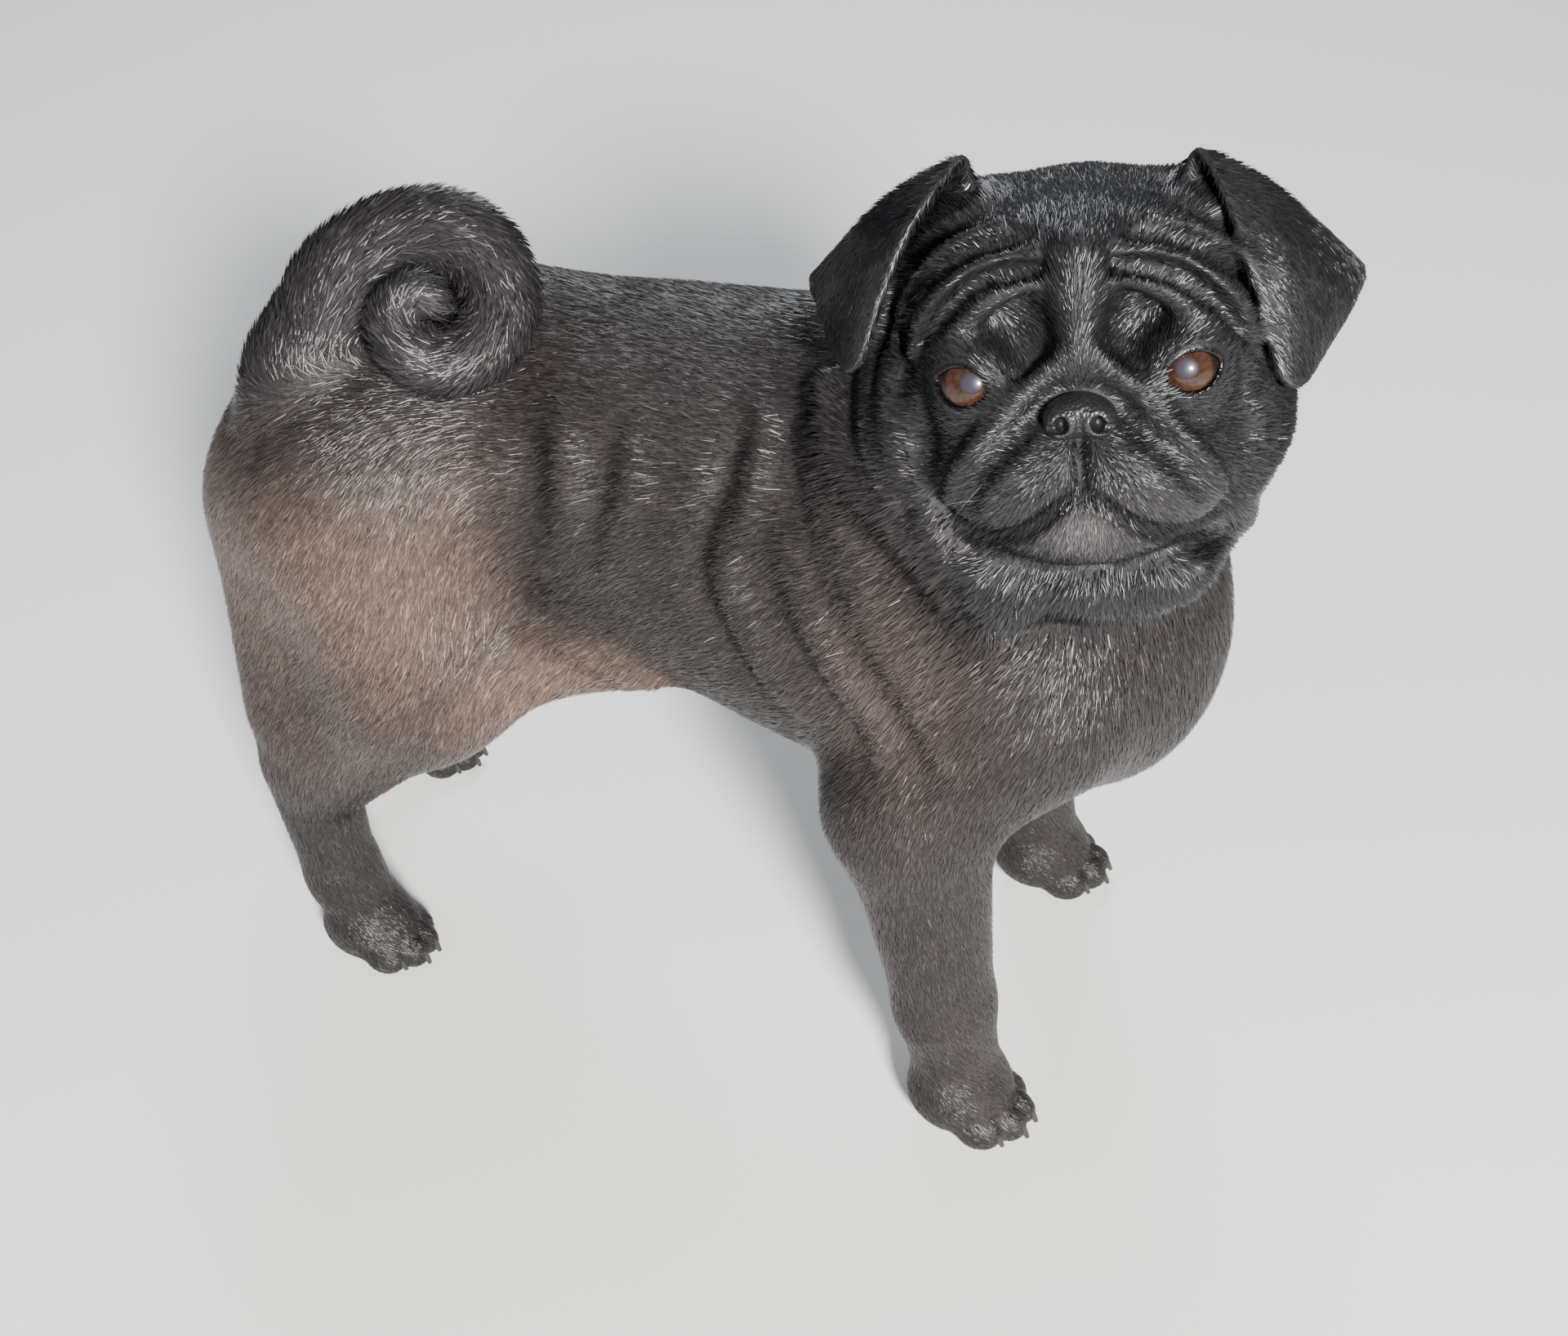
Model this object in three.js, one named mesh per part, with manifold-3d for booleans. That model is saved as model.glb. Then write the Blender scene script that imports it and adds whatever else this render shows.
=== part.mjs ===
// A black pug standing still, head turned to its right and tail curled on the right hip.
// Millimetres. Ahead is +X, the dog's left is +Y and up is +Z, with the paws on z = 0.
import * as THREE from "three";
import { mergeVertices } from "three/addons/utils/BufferGeometryUtils.js";
import Module from "manifold-3d";

const wasm = await Module();
wasm.setup();

const RIGHT = -1;
const LEFT = 1;
const SIDES = [RIGHT, LEFT];
const sideName = (side) => (side === RIGHT ? "right" : "left");
const vec = (x, y, z) => new THREE.Vector3(x, y, z);
const degrees = THREE.MathUtils.degToRad;

// Gap between neighbours, as a growth of the one that cuts the other
const GAP = 0.45;

// Trunk: [centre, radii, blend]
const CHEST = [vec(60, 0, 212), vec(98, 80, 84), 0];
const LOINS = [vec(-22, 0, 226), vec(112, 72, 70), 30];
const RUMP = [vec(-118, 0, 234), vec(76, 64, 60), 30];
const BREAST = [vec(132, 4, 188), vec(50, 62, 60), 25];
const SHOULDER = { x: 88, y: 50, z: 232, radii: vec(46, 32, 62), blend: 20 };

// Neck, a taper from the withers up to the back of the skull
const NECK = { from: vec(92, 0, 238), to: vec(128, -10, 292), thick: [74, 60], blend: 28 };

// The left legs stand further back than the right ones
const FORE_SHIFT = { [RIGHT]: 0, [LEFT]: -8 };
const HIND_SHIFT = { [RIGHT]: 0, [LEFT]: -40 };
// Fore leg, from the point of the shoulder to the paw: x, y, z, thickness
const ARM = [[122, 52, 192, 38], [84, 66, 150, 31]];
const FOREARM = [[88, 69, 146, 29], [99, 70, 58, 18.5]];
const WRIST = [[99, 70, 56, 19], [104, 70, 26, 17]];
// Hind leg: x, y, z, thickness, share of the shift
const THIGH = [[-130, 40, 226, 56, 0.5], [-112, 60, 160, 36, 0.9]];
const HAMSTRING = [[-166, 38, 210, 36, 0.6], [-168, 58, 130, 26, 1]];
const GASKIN = [[-116, 62, 150, 30, 1], [-158, 62, 104, 23, 1]];
const FLANK_FOLD = [[-92, 58, 166, 22, 0.9], [-36, 46, 176, 16, 0.5]];
const SHANK = [[-172, 62, 100, 19, 1], [-166, 62, 40, 15, 1]];
const PASTERN = [[-166, 61, 42, 15, 1], [-160, 60, 24, 15, 1]];

// Paws: middle on the floor, heading in degrees outward, half length, half width, height
const FORE_PAW = { x: 106, y: 71, out: 6, long: 21, wide: 20, high: 15 };
const HIND_PAW = { x: -158, y: 60, out: 4, long: 22, wide: 18, high: 14 };
const TOES = [[12, -0.62], [19, -0.22], [19, 0.22], [12, 0.62]];
const TOE_RADIUS = 8.2;
const CLAW = { length: 8, root: 2.3, tip: 0.7 };
const SOLE = 1.2;

// Head: centre of the skull and the way it faces
const HEAD_AT = vec(133, -24, 309);
const HEAD_YAW = degrees(-78);
const HEAD_PITCH = degrees(20);
const HEAD_ROLL = degrees(4.5);
const EYE = {
  forward: 43, out: { [RIGHT]: 35, [LEFT]: 33 }, up: { [RIGHT]: 3.2, [LEFT]: 5.2 }, radius: 11.5,
};
// Lids: how thick they lie over the ball, and the almond between them
const LID = {
  thick: 1.3, shell: 1.7, blend: 9, wide: 8.2, high: 5.6, low: 6.4, tilt: degrees(11), turn: degrees(16),
};
const NOSE = { forward: 59, up: -5.5, radii: vec(7.5, 11, 7) };
const NOSTRIL = { forward: 65.5, out: 5.8, up: -7.5, radii: vec(5, 2.6, 3) };

// Lumps of the head, mirrored where they stand off the middle: forward, out, up, radii, blend
const SKULL = [
  [-14, 0, 12, vec(54, 58, 50), 16],
  [10, 0, -20, vec(50, 61, 42), 20],
  [28, 0, 26, vec(26, 46, 28), 18],
  [46, 0, -27, vec(20, 37, 20), 14],
  [48, 17, -24, vec(19, 19, 16), 8],
  [-10, 36, 40, vec(28, 20, 18), 14],
  [46, 0, -41, vec(17, 27, 12), 4],
];
const THROAT = [[25, 15, -62, vec(17, 17, 15), 6], [22, 0, -64, vec(17, 14, 16), 6]];
const EAR_ROOT = [-8, 56, 34, vec(12, 12, 16), 6];
// Lobes of loose skin under the jaw, from the dog's right to its left: forward, left, up
const LOBES = [
  [36, -28, -64, vec(8, 12, 15), 7],
  [35, -2, -64, vec(9, 14, 9), 6],
  [34, 26, -61, vec(9, 11, 10), 6],
];
const BROW_HOLLOW = [56, 20.5, 21.5, vec(15, 13.5, 11.5), 7];
const CHEEK_HOLLOW = [43, 50, -13, vec(7, 5, 10), 7];

// Folds of the face: points out and up from the middle of the face, thicknesses, blend,
// and how far the fold's middle lies above the flesh. A groove has way -1.
const FOLDS = [
  { path: [[0, 10], [0, 22], [0, 40]], thick: [3.5, 5, 8], blend: 12, rise: -1, sides: [0] },
  { path: [[41, 12], [35, 20], [26, 29], [14, 34]], thick: [2.5, 4, 4.5, 3], blend: 5, rise: 0.8 },
  { path: [[22, 5], [28, 11.5], [36, 14], [44, 12], [49, 3]], thick: [2, 2.6, 2.8, 2.6, 1.8], blend: 4,
    rise: -0.3 },
  { path: [[51, 11], [47, 21], [38, 31], [26, 38], [13, 41]], thick: [3, 4, 4.3, 4, 3], blend: 4,
    rise: 1 },
  { path: [[58, 4], [56, 18], [48, 32], [36, 43], [22, 49]], thick: [3, 4, 4.3, 4, 3], blend: 4,
    rise: 1 },
  { path: [[46, 14], [40, 24], [31, 32], [21, 36], [11, 37]], thick: [2, 2.8, 3.2, 2.8, 1.8],
    blend: 3.5, rise: 0.8, way: -1 },
  { path: [[55, 12], [51, 25], [42, 36], [32, 42], [16, 46]], thick: [2, 2.8, 3.2, 2.8, 1.8],
    blend: 3.5, rise: 0.8, way: -1 },
  { path: [[60, 10], [58, 22], [51, 37], [38, 48], [26, 54]], thick: [1.8, 2.6, 3, 2.6, 1.6],
    blend: 3.5, rise: 1, way: -1 },
  { path: [[0, 5], [8, 5.5], [16, 2.5], [25, -6], [34, -15], [40, -24], [41, -31]],
    thick: [3.5, 4.5, 5, 4.5, 3.5, 2.5, 1.5], blend: 5 },
  { path: [[0, 11], [9, 11], [16, 8], [23, 1]], thick: [2, 2.4, 2.4, 1.4], blend: 3, rise: 1,
    way: -1 },
  { path: [[12, -4], [17, -9], [24, -15], [31, -23], [35, -32]], thick: [2, 2.6, 2.8, 2.2, 1.2],
    blend: 4, rise: 0.6, way: -1 },
  { path: [[27, -6], [34, -9], [42, -8], [48, -3]], thick: [1.2, 1.8, 1.8, 1.2], blend: 4, rise: 0.6,
    way: -1 },
  { path: [[60, 6], [61, -5], [59, -20], [52, -32]], thick: [3, 4, 4.5, 3], blend: 6, rise: -0.5 },
  { path: [[47, -37], [47, -45], [42, -53], [34, -59]], thick: [4, 5.5, 6, 5], blend: 5, rise: -2 },
  { path: [[63, 26], [67, 5], [67, -15], [60, -34]], thick: [3, 4.5, 4.5, 3], blend: 6, rise: -1,
    sides: [RIGHT] },
];
// Line of the mouth, with the upper lip's edge as an arch each side of the middle
const LIP_LINE = {
  path: [[0, -27.5], [6, -31], [12, -36], [20, -41], [30, -43.5], [39, -40.5], [44, -33]],
  thick: 2.4,
};
const PHILTRUM = { path: [[0, -11], [0, -19], [0, -27.5]], thick: 1.6 };

// Loose skin on the shoulders and ribs: x and z along the fold, thicknesses, blend, rise, way
const BODY_FOLDS = [
  { path: [[25, 280], [23, 269], [26, 250]], thick: [1.5, 4.5, 3], rise: 1, way: -1 },
  { path: [[16, 258], [15, 240], [21, 222], [30, 200]], thick: [1.5, 4.5, 4.5, 2], rise: 1, way: -1 },
  { path: [[29, 282], [31, 273], [30, 259], [25, 242], [28, 228], [37, 209], [48, 188]],
    thick: [1.5, 4.5, 5.5, 5.5, 5.5, 5, 2], rise: -1.5, way: 1 },
  { path: [[40, 284], [47, 273], [53, 258], [57, 241]], thick: [2, 5, 5.5, 3], rise: 1, way: -1 },
  { path: [[42, 240], [49, 224], [59, 206], [72, 184]], thick: [2, 4.5, 4.5, 2], rise: 1, way: -1 },
  { path: [[50, 252], [58, 232], [68, 212], [82, 188]], thick: [2, 5.5, 6, 3], rise: -1.5, way: 1 },
  { path: [[62, 268], [65, 252], [74, 230], [86, 207], [98, 184]], thick: [2, 5, 5, 4, 2], rise: 1.5,
    way: -1 },
  { path: [[58, 288], [66, 274], [74, 254], [84, 232], [95, 208], [104, 190]],
    thick: [2, 6, 6.5, 6, 5, 2], rise: -2, way: 1 },
  { path: [[-31, 284], [-24, 276], [-23, 264], [-27, 240]], thick: [1.5, 4.5, 4.5, 2], rise: 1.5,
    way: -1 },
  { path: [[-18, 283], [-14, 270], [-15, 252], [-19, 226]], thick: [1.5, 5, 5, 2], rise: -2, way: 1 },
  { path: [[-44, 284], [-43, 274], [-41, 258], [-43, 236]], thick: [1.5, 5, 5, 2], rise: -2, way: 1 },
  { path: [[-57, 276], [-54, 262], [-50, 238]], thick: [1.5, 4, 2], rise: 2, way: -1 },
  { path: [[-72, 194], [-50, 190], [-30, 184], [-17, 172]], thick: [2, 5, 5, 3], rise: -2, way: 1 },
];
const BODY_FOLD_BLEND = 10;
// A ridge of loose skin on the neck, behind the cheek that the head is turned towards
const COLLAR = {
  path: [[50, -42, 297], [62, -62, 287], [79, -75, 280], [96, -82, 270], [107, -83, 256],
    [116, -80, 240]],
  thick: [4, 6, 6.5, 6.5, 6, 4],
  blend: 9,
};

// Ears: rows from the root over the fold to the tip, each from the front edge to the rear edge,
// as forward, outward and up from the head's middle
const EARS = {
  [RIGHT]: [
    [[4, 35, 59], [-6, 45, 57], [-16, 55, 49], [-22, 62, 32]],
    [[10, 37, 67], [4, 52, 59], [-6, 71, 46], [-16, 87, 31]],
    [[24, 54, 45], [20, 65, 37], [12, 75, 29], [0, 84, 22]],
    [[26, 69, 9], [25, 72, 6], [22, 75, 7], [14, 79, 14]],
  ],
  [LEFT]: [
    [[4, 32, 56], [-6, 41, 55], [-16, 50, 45], [-22, 57, 28]],
    [[10, 37, 65], [4, 53, 55], [-6, 70, 41], [-16, 84, 26]],
    [[24, 50, 37], [20, 62, 32], [12, 73, 26], [0, 82, 17]],
    [[26, 59, 0], [25, 62, -4], [22, 66, -4], [14, 71, 2]],
  ],
};
const EAR_STEPS = { along: 10, across: 7 };
const EAR_THICK = [4.8, 3.8, 3.4];

// Tail: forward, up and out from the middle of the curl, thickness
const CURL_AT = vec(-104, -36, 300);
const CURL_AXIS = vec(0.18, -0.76, 0.62).normalize();
const TAIL = [
  [-38, -56, -38, 22], [-40, -38, -26, 21], [-37, -14, -13, 19.5], [-29, 7, -5, 18.5],
  [-14, 21, -2, 17.5], [4, 27, 0, 16.5], [20, 22, 1, 15.5], [30, 7, 3, 14.5], [28, -9, 7, 13.5],
  [18, -18, 13, 12.5], [7, -17, 18, 11.5], [0, -8, 20, 10.5], [5, 2, 21, 9.5], [13, 1, 21, 8],
];
const TAIL_PARTS = [["tail_base", 0, 0.4, 13], ["tail_mid", 0.4, 0.8, 14], ["tail_tip", 0.8, 1, 7]];
// The last places are balls, because the coil is tighter there than the tail is thick
const TAIL_BALLS = 3;
const TAIL_SIDES = 13;

// Fineness of each part
const MESH = {
  head: [60, 36], torso: [44, 28], neck: [36, 14], upper: [22, 14], lower: [14, 9], paw: [20, 12],
};

const BLACK = { color: 0x1b191a, roughness: 0.62, metalness: 0 };
const BROWN_BLACK = { color: 0x2a2321, roughness: 0.66, metalness: 0 };
const EAR_BLACK = { color: 0x121214, roughness: 0.55, metalness: 0 };
const NOSE_BLACK = { color: 0x0e0e10, roughness: 0.38, metalness: 0 };
const EYE_BROWN = { color: 0x3a1f12, roughness: 0.08, metalness: 0 };
const GREY_BLACK = { color: 0x232224, roughness: 0.64, metalness: 0 };

// Axes of the head, as facing, its left and its up
function headAxes() {
  const facing = vec(Math.cos(HEAD_YAW) * Math.cos(HEAD_PITCH), Math.sin(HEAD_YAW) * Math.cos(HEAD_PITCH),
    Math.sin(HEAD_PITCH));
  const level = vec(-Math.sin(HEAD_YAW), Math.cos(HEAD_YAW), 0);
  const crown = facing.clone().cross(level);
  const left = level.clone().multiplyScalar(Math.cos(HEAD_ROLL)).addScaledVector(crown, Math.sin(HEAD_ROLL));
  const up = crown.multiplyScalar(Math.cos(HEAD_ROLL)).addScaledVector(level, -Math.sin(HEAD_ROLL));
  return [facing, left, up];
}
const HEAD = headAxes();

function inHead(forward, left, up) {
  return HEAD_AT.clone().addScaledVector(HEAD[0], forward).addScaledVector(HEAD[1], left)
    .addScaledVector(HEAD[2], up);
}

// Smooth union and smooth cut of two signed distances
function join(a, b, blend) {
  if (blend <= 0) return Math.min(a, b);
  const h = Math.max(blend - Math.abs(a - b), 0) / blend;
  return Math.min(a, b) - (h * h * blend) / 4;
}

function cut(a, b, blend) {
  const h = Math.max(blend - Math.abs(a + b), 0) / blend;
  return Math.max(a, -b) + (h * h * blend) / 4;
}

function ellipsoid(centre, radii, axes = [vec(1, 0, 0), vec(0, 1, 0), vec(0, 0, 1)]) {
  const reach = vec(0, 0, 0);
  for (const k of ["x", "y", "z"]) {
    reach[k] = Math.hypot(axes[0][k] * radii.x, axes[1][k] * radii.y, axes[2][k] * radii.z);
  }
  const q = vec(0, 0, 0);
  const distance = (p) => {
    q.subVectors(p, centre);
    const [a, b, c] = axes.map((axis) => q.dot(axis));
    const near = Math.hypot(a / radii.x, b / radii.y, c / radii.z);
    const slope = Math.hypot(a / radii.x ** 2, b / radii.y ** 2, c / radii.z ** 2);
    return slope < 1e-9 ? -Math.min(radii.x, radii.y, radii.z) : (near * (near - 1)) / slope;
  };
  return { distance, low: centre.clone().sub(reach), high: centre.clone().add(reach) };
}

function taper(from, to, start, end) {
  const along = to.clone().sub(from);
  const length = along.lengthSq();
  const q = vec(0, 0, 0);
  const distance = (p) => {
    const t = THREE.MathUtils.clamp(q.subVectors(p, from).dot(along) / length, 0, 1);
    return q.addScaledVector(along, -t).length() - (start + (end - start) * t);
  };
  const wide = Math.max(start, end);
  const low = from.clone().min(to).subScalar(wide);
  return { distance, low, high: from.clone().max(to).addScalar(wide) };
}

// Thickness read off a short list at t from 0 to 1
function along(list, t) {
  if (!Array.isArray(list)) return list;
  const at = Math.min(Math.max(t, 0), 1) * (list.length - 1);
  const i = Math.min(Math.floor(at), list.length - 2);
  return THREE.MathUtils.lerp(list[i], list[i + 1], at - i);
}

// A row of tapers that follows a curve through the points
function strand(points, thick) {
  const curve = new THREE.CatmullRomCurve3(points, false, "catmullrom", 0.5);
  const steps = 3 * points.length - 1;
  const pieces = [];
  for (let i = 0; i < steps; i += 1) {
    const [s, e] = [i / steps, (i + 1) / steps];
    pieces.push(taper(curve.getPoint(s), curve.getPoint(e), along(thick, s), along(thick, e)));
  }
  const low = pieces[0].low.clone();
  const high = pieces[0].high.clone();
  for (const piece of pieces) {
    low.min(piece.low);
    high.max(piece.high);
  }
  const distance = (p) => Math.min(...pieces.map((piece) => piece.distance(p)));
  return { distance, low, high };
}

// The flesh as one signed distance, with each lump known by the part it belongs to
const REACH = 14;
const lumps = [];
function flesh(part, shape, blend = 16, way = 1) {
  const margin = blend + REACH;
  const box = new THREE.Box3(shape.low.clone().subScalar(margin), shape.high.clone().addScalar(margin));
  lumps.push({ part, blend, way, box, distance: shape.distance });
}

function skin(p, parts, from = lumps) {
  let d = 1000;
  for (const lump of from) {
    if (parts && !parts.includes(lump.part)) continue;
    if (!lump.box.containsPoint(p)) continue;
    d = lump.way > 0 ? join(d, lump.distance(p), lump.blend) : cut(d, lump.distance(p), lump.blend);
  }
  return d;
}

for (const [centre, radii, blend] of [CHEST, LOINS, RUMP, BREAST]) {
  flesh("torso", ellipsoid(centre, radii), blend);
}

function legPoint(side, shift, [x, y, z, , share = 1]) {
  return vec(x + shift * share, side * y, z);
}

function legPiece(part, side, shift, [start, end], blend) {
  const [from, to] = [legPoint(side, shift, start), legPoint(side, shift, end)];
  flesh(part, taper(from, to, start[3], end[3]), blend);
}

// A paw is a low pad with four toes in front
function paw(part, side, shift, size) {
  const heading = vec(Math.cos(degrees(size.out)), side * Math.sin(degrees(size.out)), 0);
  const across = vec(-heading.y, heading.x, 0);
  const centre = vec(size.x + shift, side * size.y, size.high - SOLE);
  flesh(part, ellipsoid(centre, vec(size.long, size.wide, size.high), [heading, across, vec(0, 0, 1)]), 9);
  const toes = [];
  for (const [forward, out] of TOES) {
    const toe = centre.clone().addScaledVector(heading, forward).addScaledVector(across, out * size.wide);
    toe.z = TOE_RADIUS - SOLE;
    flesh(part, ellipsoid(toe, vec(TOE_RADIUS * 1.2, TOE_RADIUS * 0.82, TOE_RADIUS),
      [heading, across, vec(0, 0, 1)]), 2.5);
    toes.push({ toe, heading });
  }
  return { centre, toes };
}

const paws = {};
for (const side of SIDES) {
  const name = sideName(side);
  const fore = FORE_SHIFT[side];
  const hind = HIND_SHIFT[side];
  flesh("torso", ellipsoid(vec(SHOULDER.x + fore, side * SHOULDER.y, SHOULDER.z), SHOULDER.radii),
    SHOULDER.blend);
  legPiece(`foreleg_upper_${name}`, side, fore, ARM, 20);
  legPiece(`foreleg_lower_${name}`, side, fore, FOREARM, 14);
  legPiece(`forepaw_${name}`, side, fore, WRIST, 8);
  paws[`forepaw_${name}`] = paw(`forepaw_${name}`, side, fore, FORE_PAW);
  legPiece(`hindleg_upper_${name}`, side, hind, THIGH, 26);
  legPiece(`hindleg_upper_${name}`, side, hind, HAMSTRING, 26);
  legPiece(`hindleg_upper_${name}`, side, hind, GASKIN, 20);
  legPiece("torso", side, hind, FLANK_FOLD, 26);
  legPiece(`hindleg_lower_${name}`, side, hind, SHANK, 10);
  legPiece(`hindpaw_${name}`, side, hind, PASTERN, 8);
  paws[`hindpaw_${name}`] = paw(`hindpaw_${name}`, side, hind, HIND_PAW);
}

// The flank's outside at x and z, looked for from the side inwards
function flank(side, x, z, rise) {
  const p = vec(x, side * 140, z);
  while (skin(p) > 0 && side * p.y > 0) p.y -= side * 0.5;
  p.y += side * rise;
  return p;
}
const bodyFolds = [];
for (const side of SIDES) {
  for (const { path, thick, rise, way } of BODY_FOLDS) {
    bodyFolds.push([strand(path.map(([x, z]) => flank(side, x, z, rise)), thick), way]);
  }
}
for (const [shape, way] of bodyFolds) flesh("torso", shape, BODY_FOLD_BLEND, way);

flesh("neck", taper(NECK.from, NECK.to, ...NECK.thick), NECK.blend);
flesh("neck", strand(COLLAR.path.map((point) => vec(...point)), COLLAR.thick), COLLAR.blend);

function headLump([forward, out, up, radii, blend], way = 1) {
  for (const side of out === 0 ? [1] : SIDES) {
    flesh("head", ellipsoid(inHead(forward, side * out, up), radii, HEAD), blend, way);
  }
}
[...SKULL, ...THROAT, EAR_ROOT].forEach((lump) => headLump(lump));
for (const [forward, left, up, radii, blend] of LOBES) {
  flesh("head", ellipsoid(inHead(forward, left, up), radii, HEAD), blend);
}

// The bare face's surface at a place out and up from its middle, looked for from the front inwards
const bareLumps = lumps.slice();
function face(left, up, rise = 0) {
  for (let forward = 100; forward > -20; forward -= 0.5) {
    if (skin(inHead(forward, left, up), null, bareLumps) < 0) return inHead(forward + rise, left, up);
  }
  return inHead(rise, left, up);
}

headLump(BROW_HOLLOW, -1);
headLump(CHEEK_HOLLOW, -1);
for (const { path, thick, blend, rise = 0, way = 1, sides = SIDES } of FOLDS) {
  for (const side of sides) {
    flesh("head", strand(path.map(([out, up]) => face(side * out, up, rise)), thick), blend, way);
  }
}
const eyeAt = (side) => inHead(EYE.forward, side * EYE.out[side], EYE.up[side]);
for (const side of SIDES) {
  const over = EYE.radius + LID.thick;
  flesh("head", ellipsoid(eyeAt(side), vec(over, over, over)), LID.blend);
}

// A geometry with each corner once
function welded(geometry) {
  geometry.deleteAttribute("normal");
  geometry.deleteAttribute("uv");
  return mergeVertices(geometry, 1e-4);
}

// A welded, closed geometry as a solid, and back
function solidOf(geometry) {
  const mesh = new wasm.Mesh({
    numProp: 3,
    vertProperties: Float32Array.from(geometry.attributes.position.array),
    triVerts: Uint32Array.from(geometry.index.array),
  });
  return new wasm.Manifold(mesh);
}

function geometryOf(solid) {
  const mesh = solid.getMesh();
  const geometry = new THREE.BufferGeometry();
  geometry.setAttribute("position", new THREE.BufferAttribute(mesh.vertProperties, 3));
  geometry.setIndex(new THREE.BufferAttribute(mesh.triVerts, 1));
  geometry.computeVertexNormals();
  return geometry;
}

function largest(solid) {
  const pieces = solid.decompose();
  return pieces.reduce((best, piece) => (piece.volume() > best.volume() ? piece : best));
}

// Distance from a point inside, along a direction, to where the part's own flesh ends
const OWN_ALLOWANCE = 2;
function reachOf(parts, from, direction, swell) {
  const p = vec(0, 0, 0);
  const outside = (t) => {
    p.copy(from).addScaledVector(direction, t);
    return Math.max(skin(p), skin(p, parts) - OWN_ALLOWANCE) - swell;
  };
  let near = 0;
  let far = 0;
  let d = outside(0);
  while (d < 0 && far < 400) {
    near = far;
    far += Math.max(0.6, -0.5 * d);
    d = outside(far);
  }
  for (let i = 0; i < 14; i += 1) {
    const middle = (near + far) / 2;
    if (outside(middle) < 0) near = middle;
    else far = middle;
  }
  return near;
}

// The same reach, averaged with those a little to each side, so that no fold is finer than the mesh
function softReach(parts, from, direction, swell, soft) {
  const side = vec(direction.z, 0, -direction.x).normalize();
  const above = direction.clone().cross(side);
  let sum = 2 * reachOf(parts, from, direction, swell);
  for (const [way, sign] of [[side, 1], [side, -1], [above, 1], [above, -1]]) {
    const turned = direction.clone().addScaledVector(way, sign * soft).normalize();
    sum += reachOf(parts, from, turned, swell);
  }
  return sum / 6;
}

// A ball whose points are pushed out from a spine until they meet the skin. Crowd above 0
// sets the rings closer together near the ball's first pole, at the spine's end.
function wrap(parts, from, to, [sides, rings], { swell = 0, crowd = 0, soft = 0, pole = null } = {}) {
  const ball = welded(new THREE.SphereGeometry(1, sides, rings));
  const axis = pole ?? to.clone().sub(from).normalize();
  const turn = new THREE.Quaternion().setFromUnitVectors(vec(0, 1, 0), axis);
  const position = ball.attributes.position;
  const direction = vec(0, 0, 0);
  for (let i = 0; i < position.count; i += 1) {
    direction.fromBufferAttribute(position, i).normalize();
    const angle = Math.acos(THREE.MathUtils.clamp(direction.y, -1, 1)) / Math.PI;
    const moved = Math.PI * ((1 - crowd) * angle + crowd * angle * angle);
    const flat = Math.hypot(direction.x, direction.z);
    if (flat > 1e-6) {
      const scale = Math.sin(moved) / flat;
      direction.set(direction.x * scale, Math.cos(moved), direction.z * scale);
    }
    direction.applyQuaternion(turn);
    const start = from.clone().lerp(to, (direction.dot(axis) + 1) / 2);
    const t = soft ? softReach(parts, start, direction, swell, soft)
      : reachOf(parts, start, direction, swell);
    position.setXYZ(i, ...start.addScaledVector(direction, t).toArray());
  }
  return solidOf(ball);
}

// A capped cylinder bent along a stretch of a curve
function bent(curve, start, end, thick, sides, steps, grow = 0) {
  const rod = welded(new THREE.CylinderGeometry(1, 1, 1, sides, steps, false));
  const frames = curve.computeFrenetFrames(60, false);
  const position = rod.attributes.position;
  const length = curve.getLength();
  for (let i = 0; i < position.count; i += 1) {
    const [x, y, z] = [position.getX(i), position.getY(i) + 0.5, position.getZ(i)];
    const reach = grow / length;
    const t = THREE.MathUtils.clamp(start - reach + y * (end - start + 2 * reach), 0, 1);
    const at = curve.getPoint(t);
    const k = Math.min(Math.round(curveShare(curve, t) * 60), 60);
    const r = along(thick, t) + grow;
    at.addScaledVector(frames.binormals[k], x * r).addScaledVector(frames.normals[k], z * r);
    position.setXYZ(i, at.x, at.y, at.z);
  }
  return solidOf(rod);
}

// Share of a curve's length that lies before a place on it
function curveShare(curve, t) {
  const lengths = curve.getLengths(200);
  const at = t * 200;
  const i = Math.min(Math.floor(at), 199);
  return THREE.MathUtils.lerp(lengths[i], lengths[i + 1], at - i) / lengths[200];
}

// Where neighbours part: a place and the way from the first to the second of them
const NECK_BASE = { at: vec(103, -3, 254), way: vec(0.55, -0.15, 0.82).normalize() };
const NAPE = { at: vec(120, -13, 284), way: vec(0.44, -0.36, 0.82).normalize() };
const level = (z) => ({ at: vec(0, 0, z), way: vec(0, 0, -1) });
const ELBOW = level(138);
const WRIST_TOP = level(50);
const HOCK = level(101);
const ANKLE = level(36);

// Removes all that lies past a plane, on its far side or its near side, half a gap short of it
function trimmed(solid, { at, way }, side) {
  const size = 700;
  const block = welded(new THREE.BoxGeometry(size, size, size)).translate(0, 0, size / 2);
  block.applyQuaternion(new THREE.Quaternion().setFromUnitVectors(vec(0, 0, 1),
    way.clone().multiplyScalar(side)));
  const start = at.clone().addScaledVector(way, -side * GAP / 3);
  return solid.subtract(solidOf(block.translate(start.x, start.y, start.z)));
}

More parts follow.
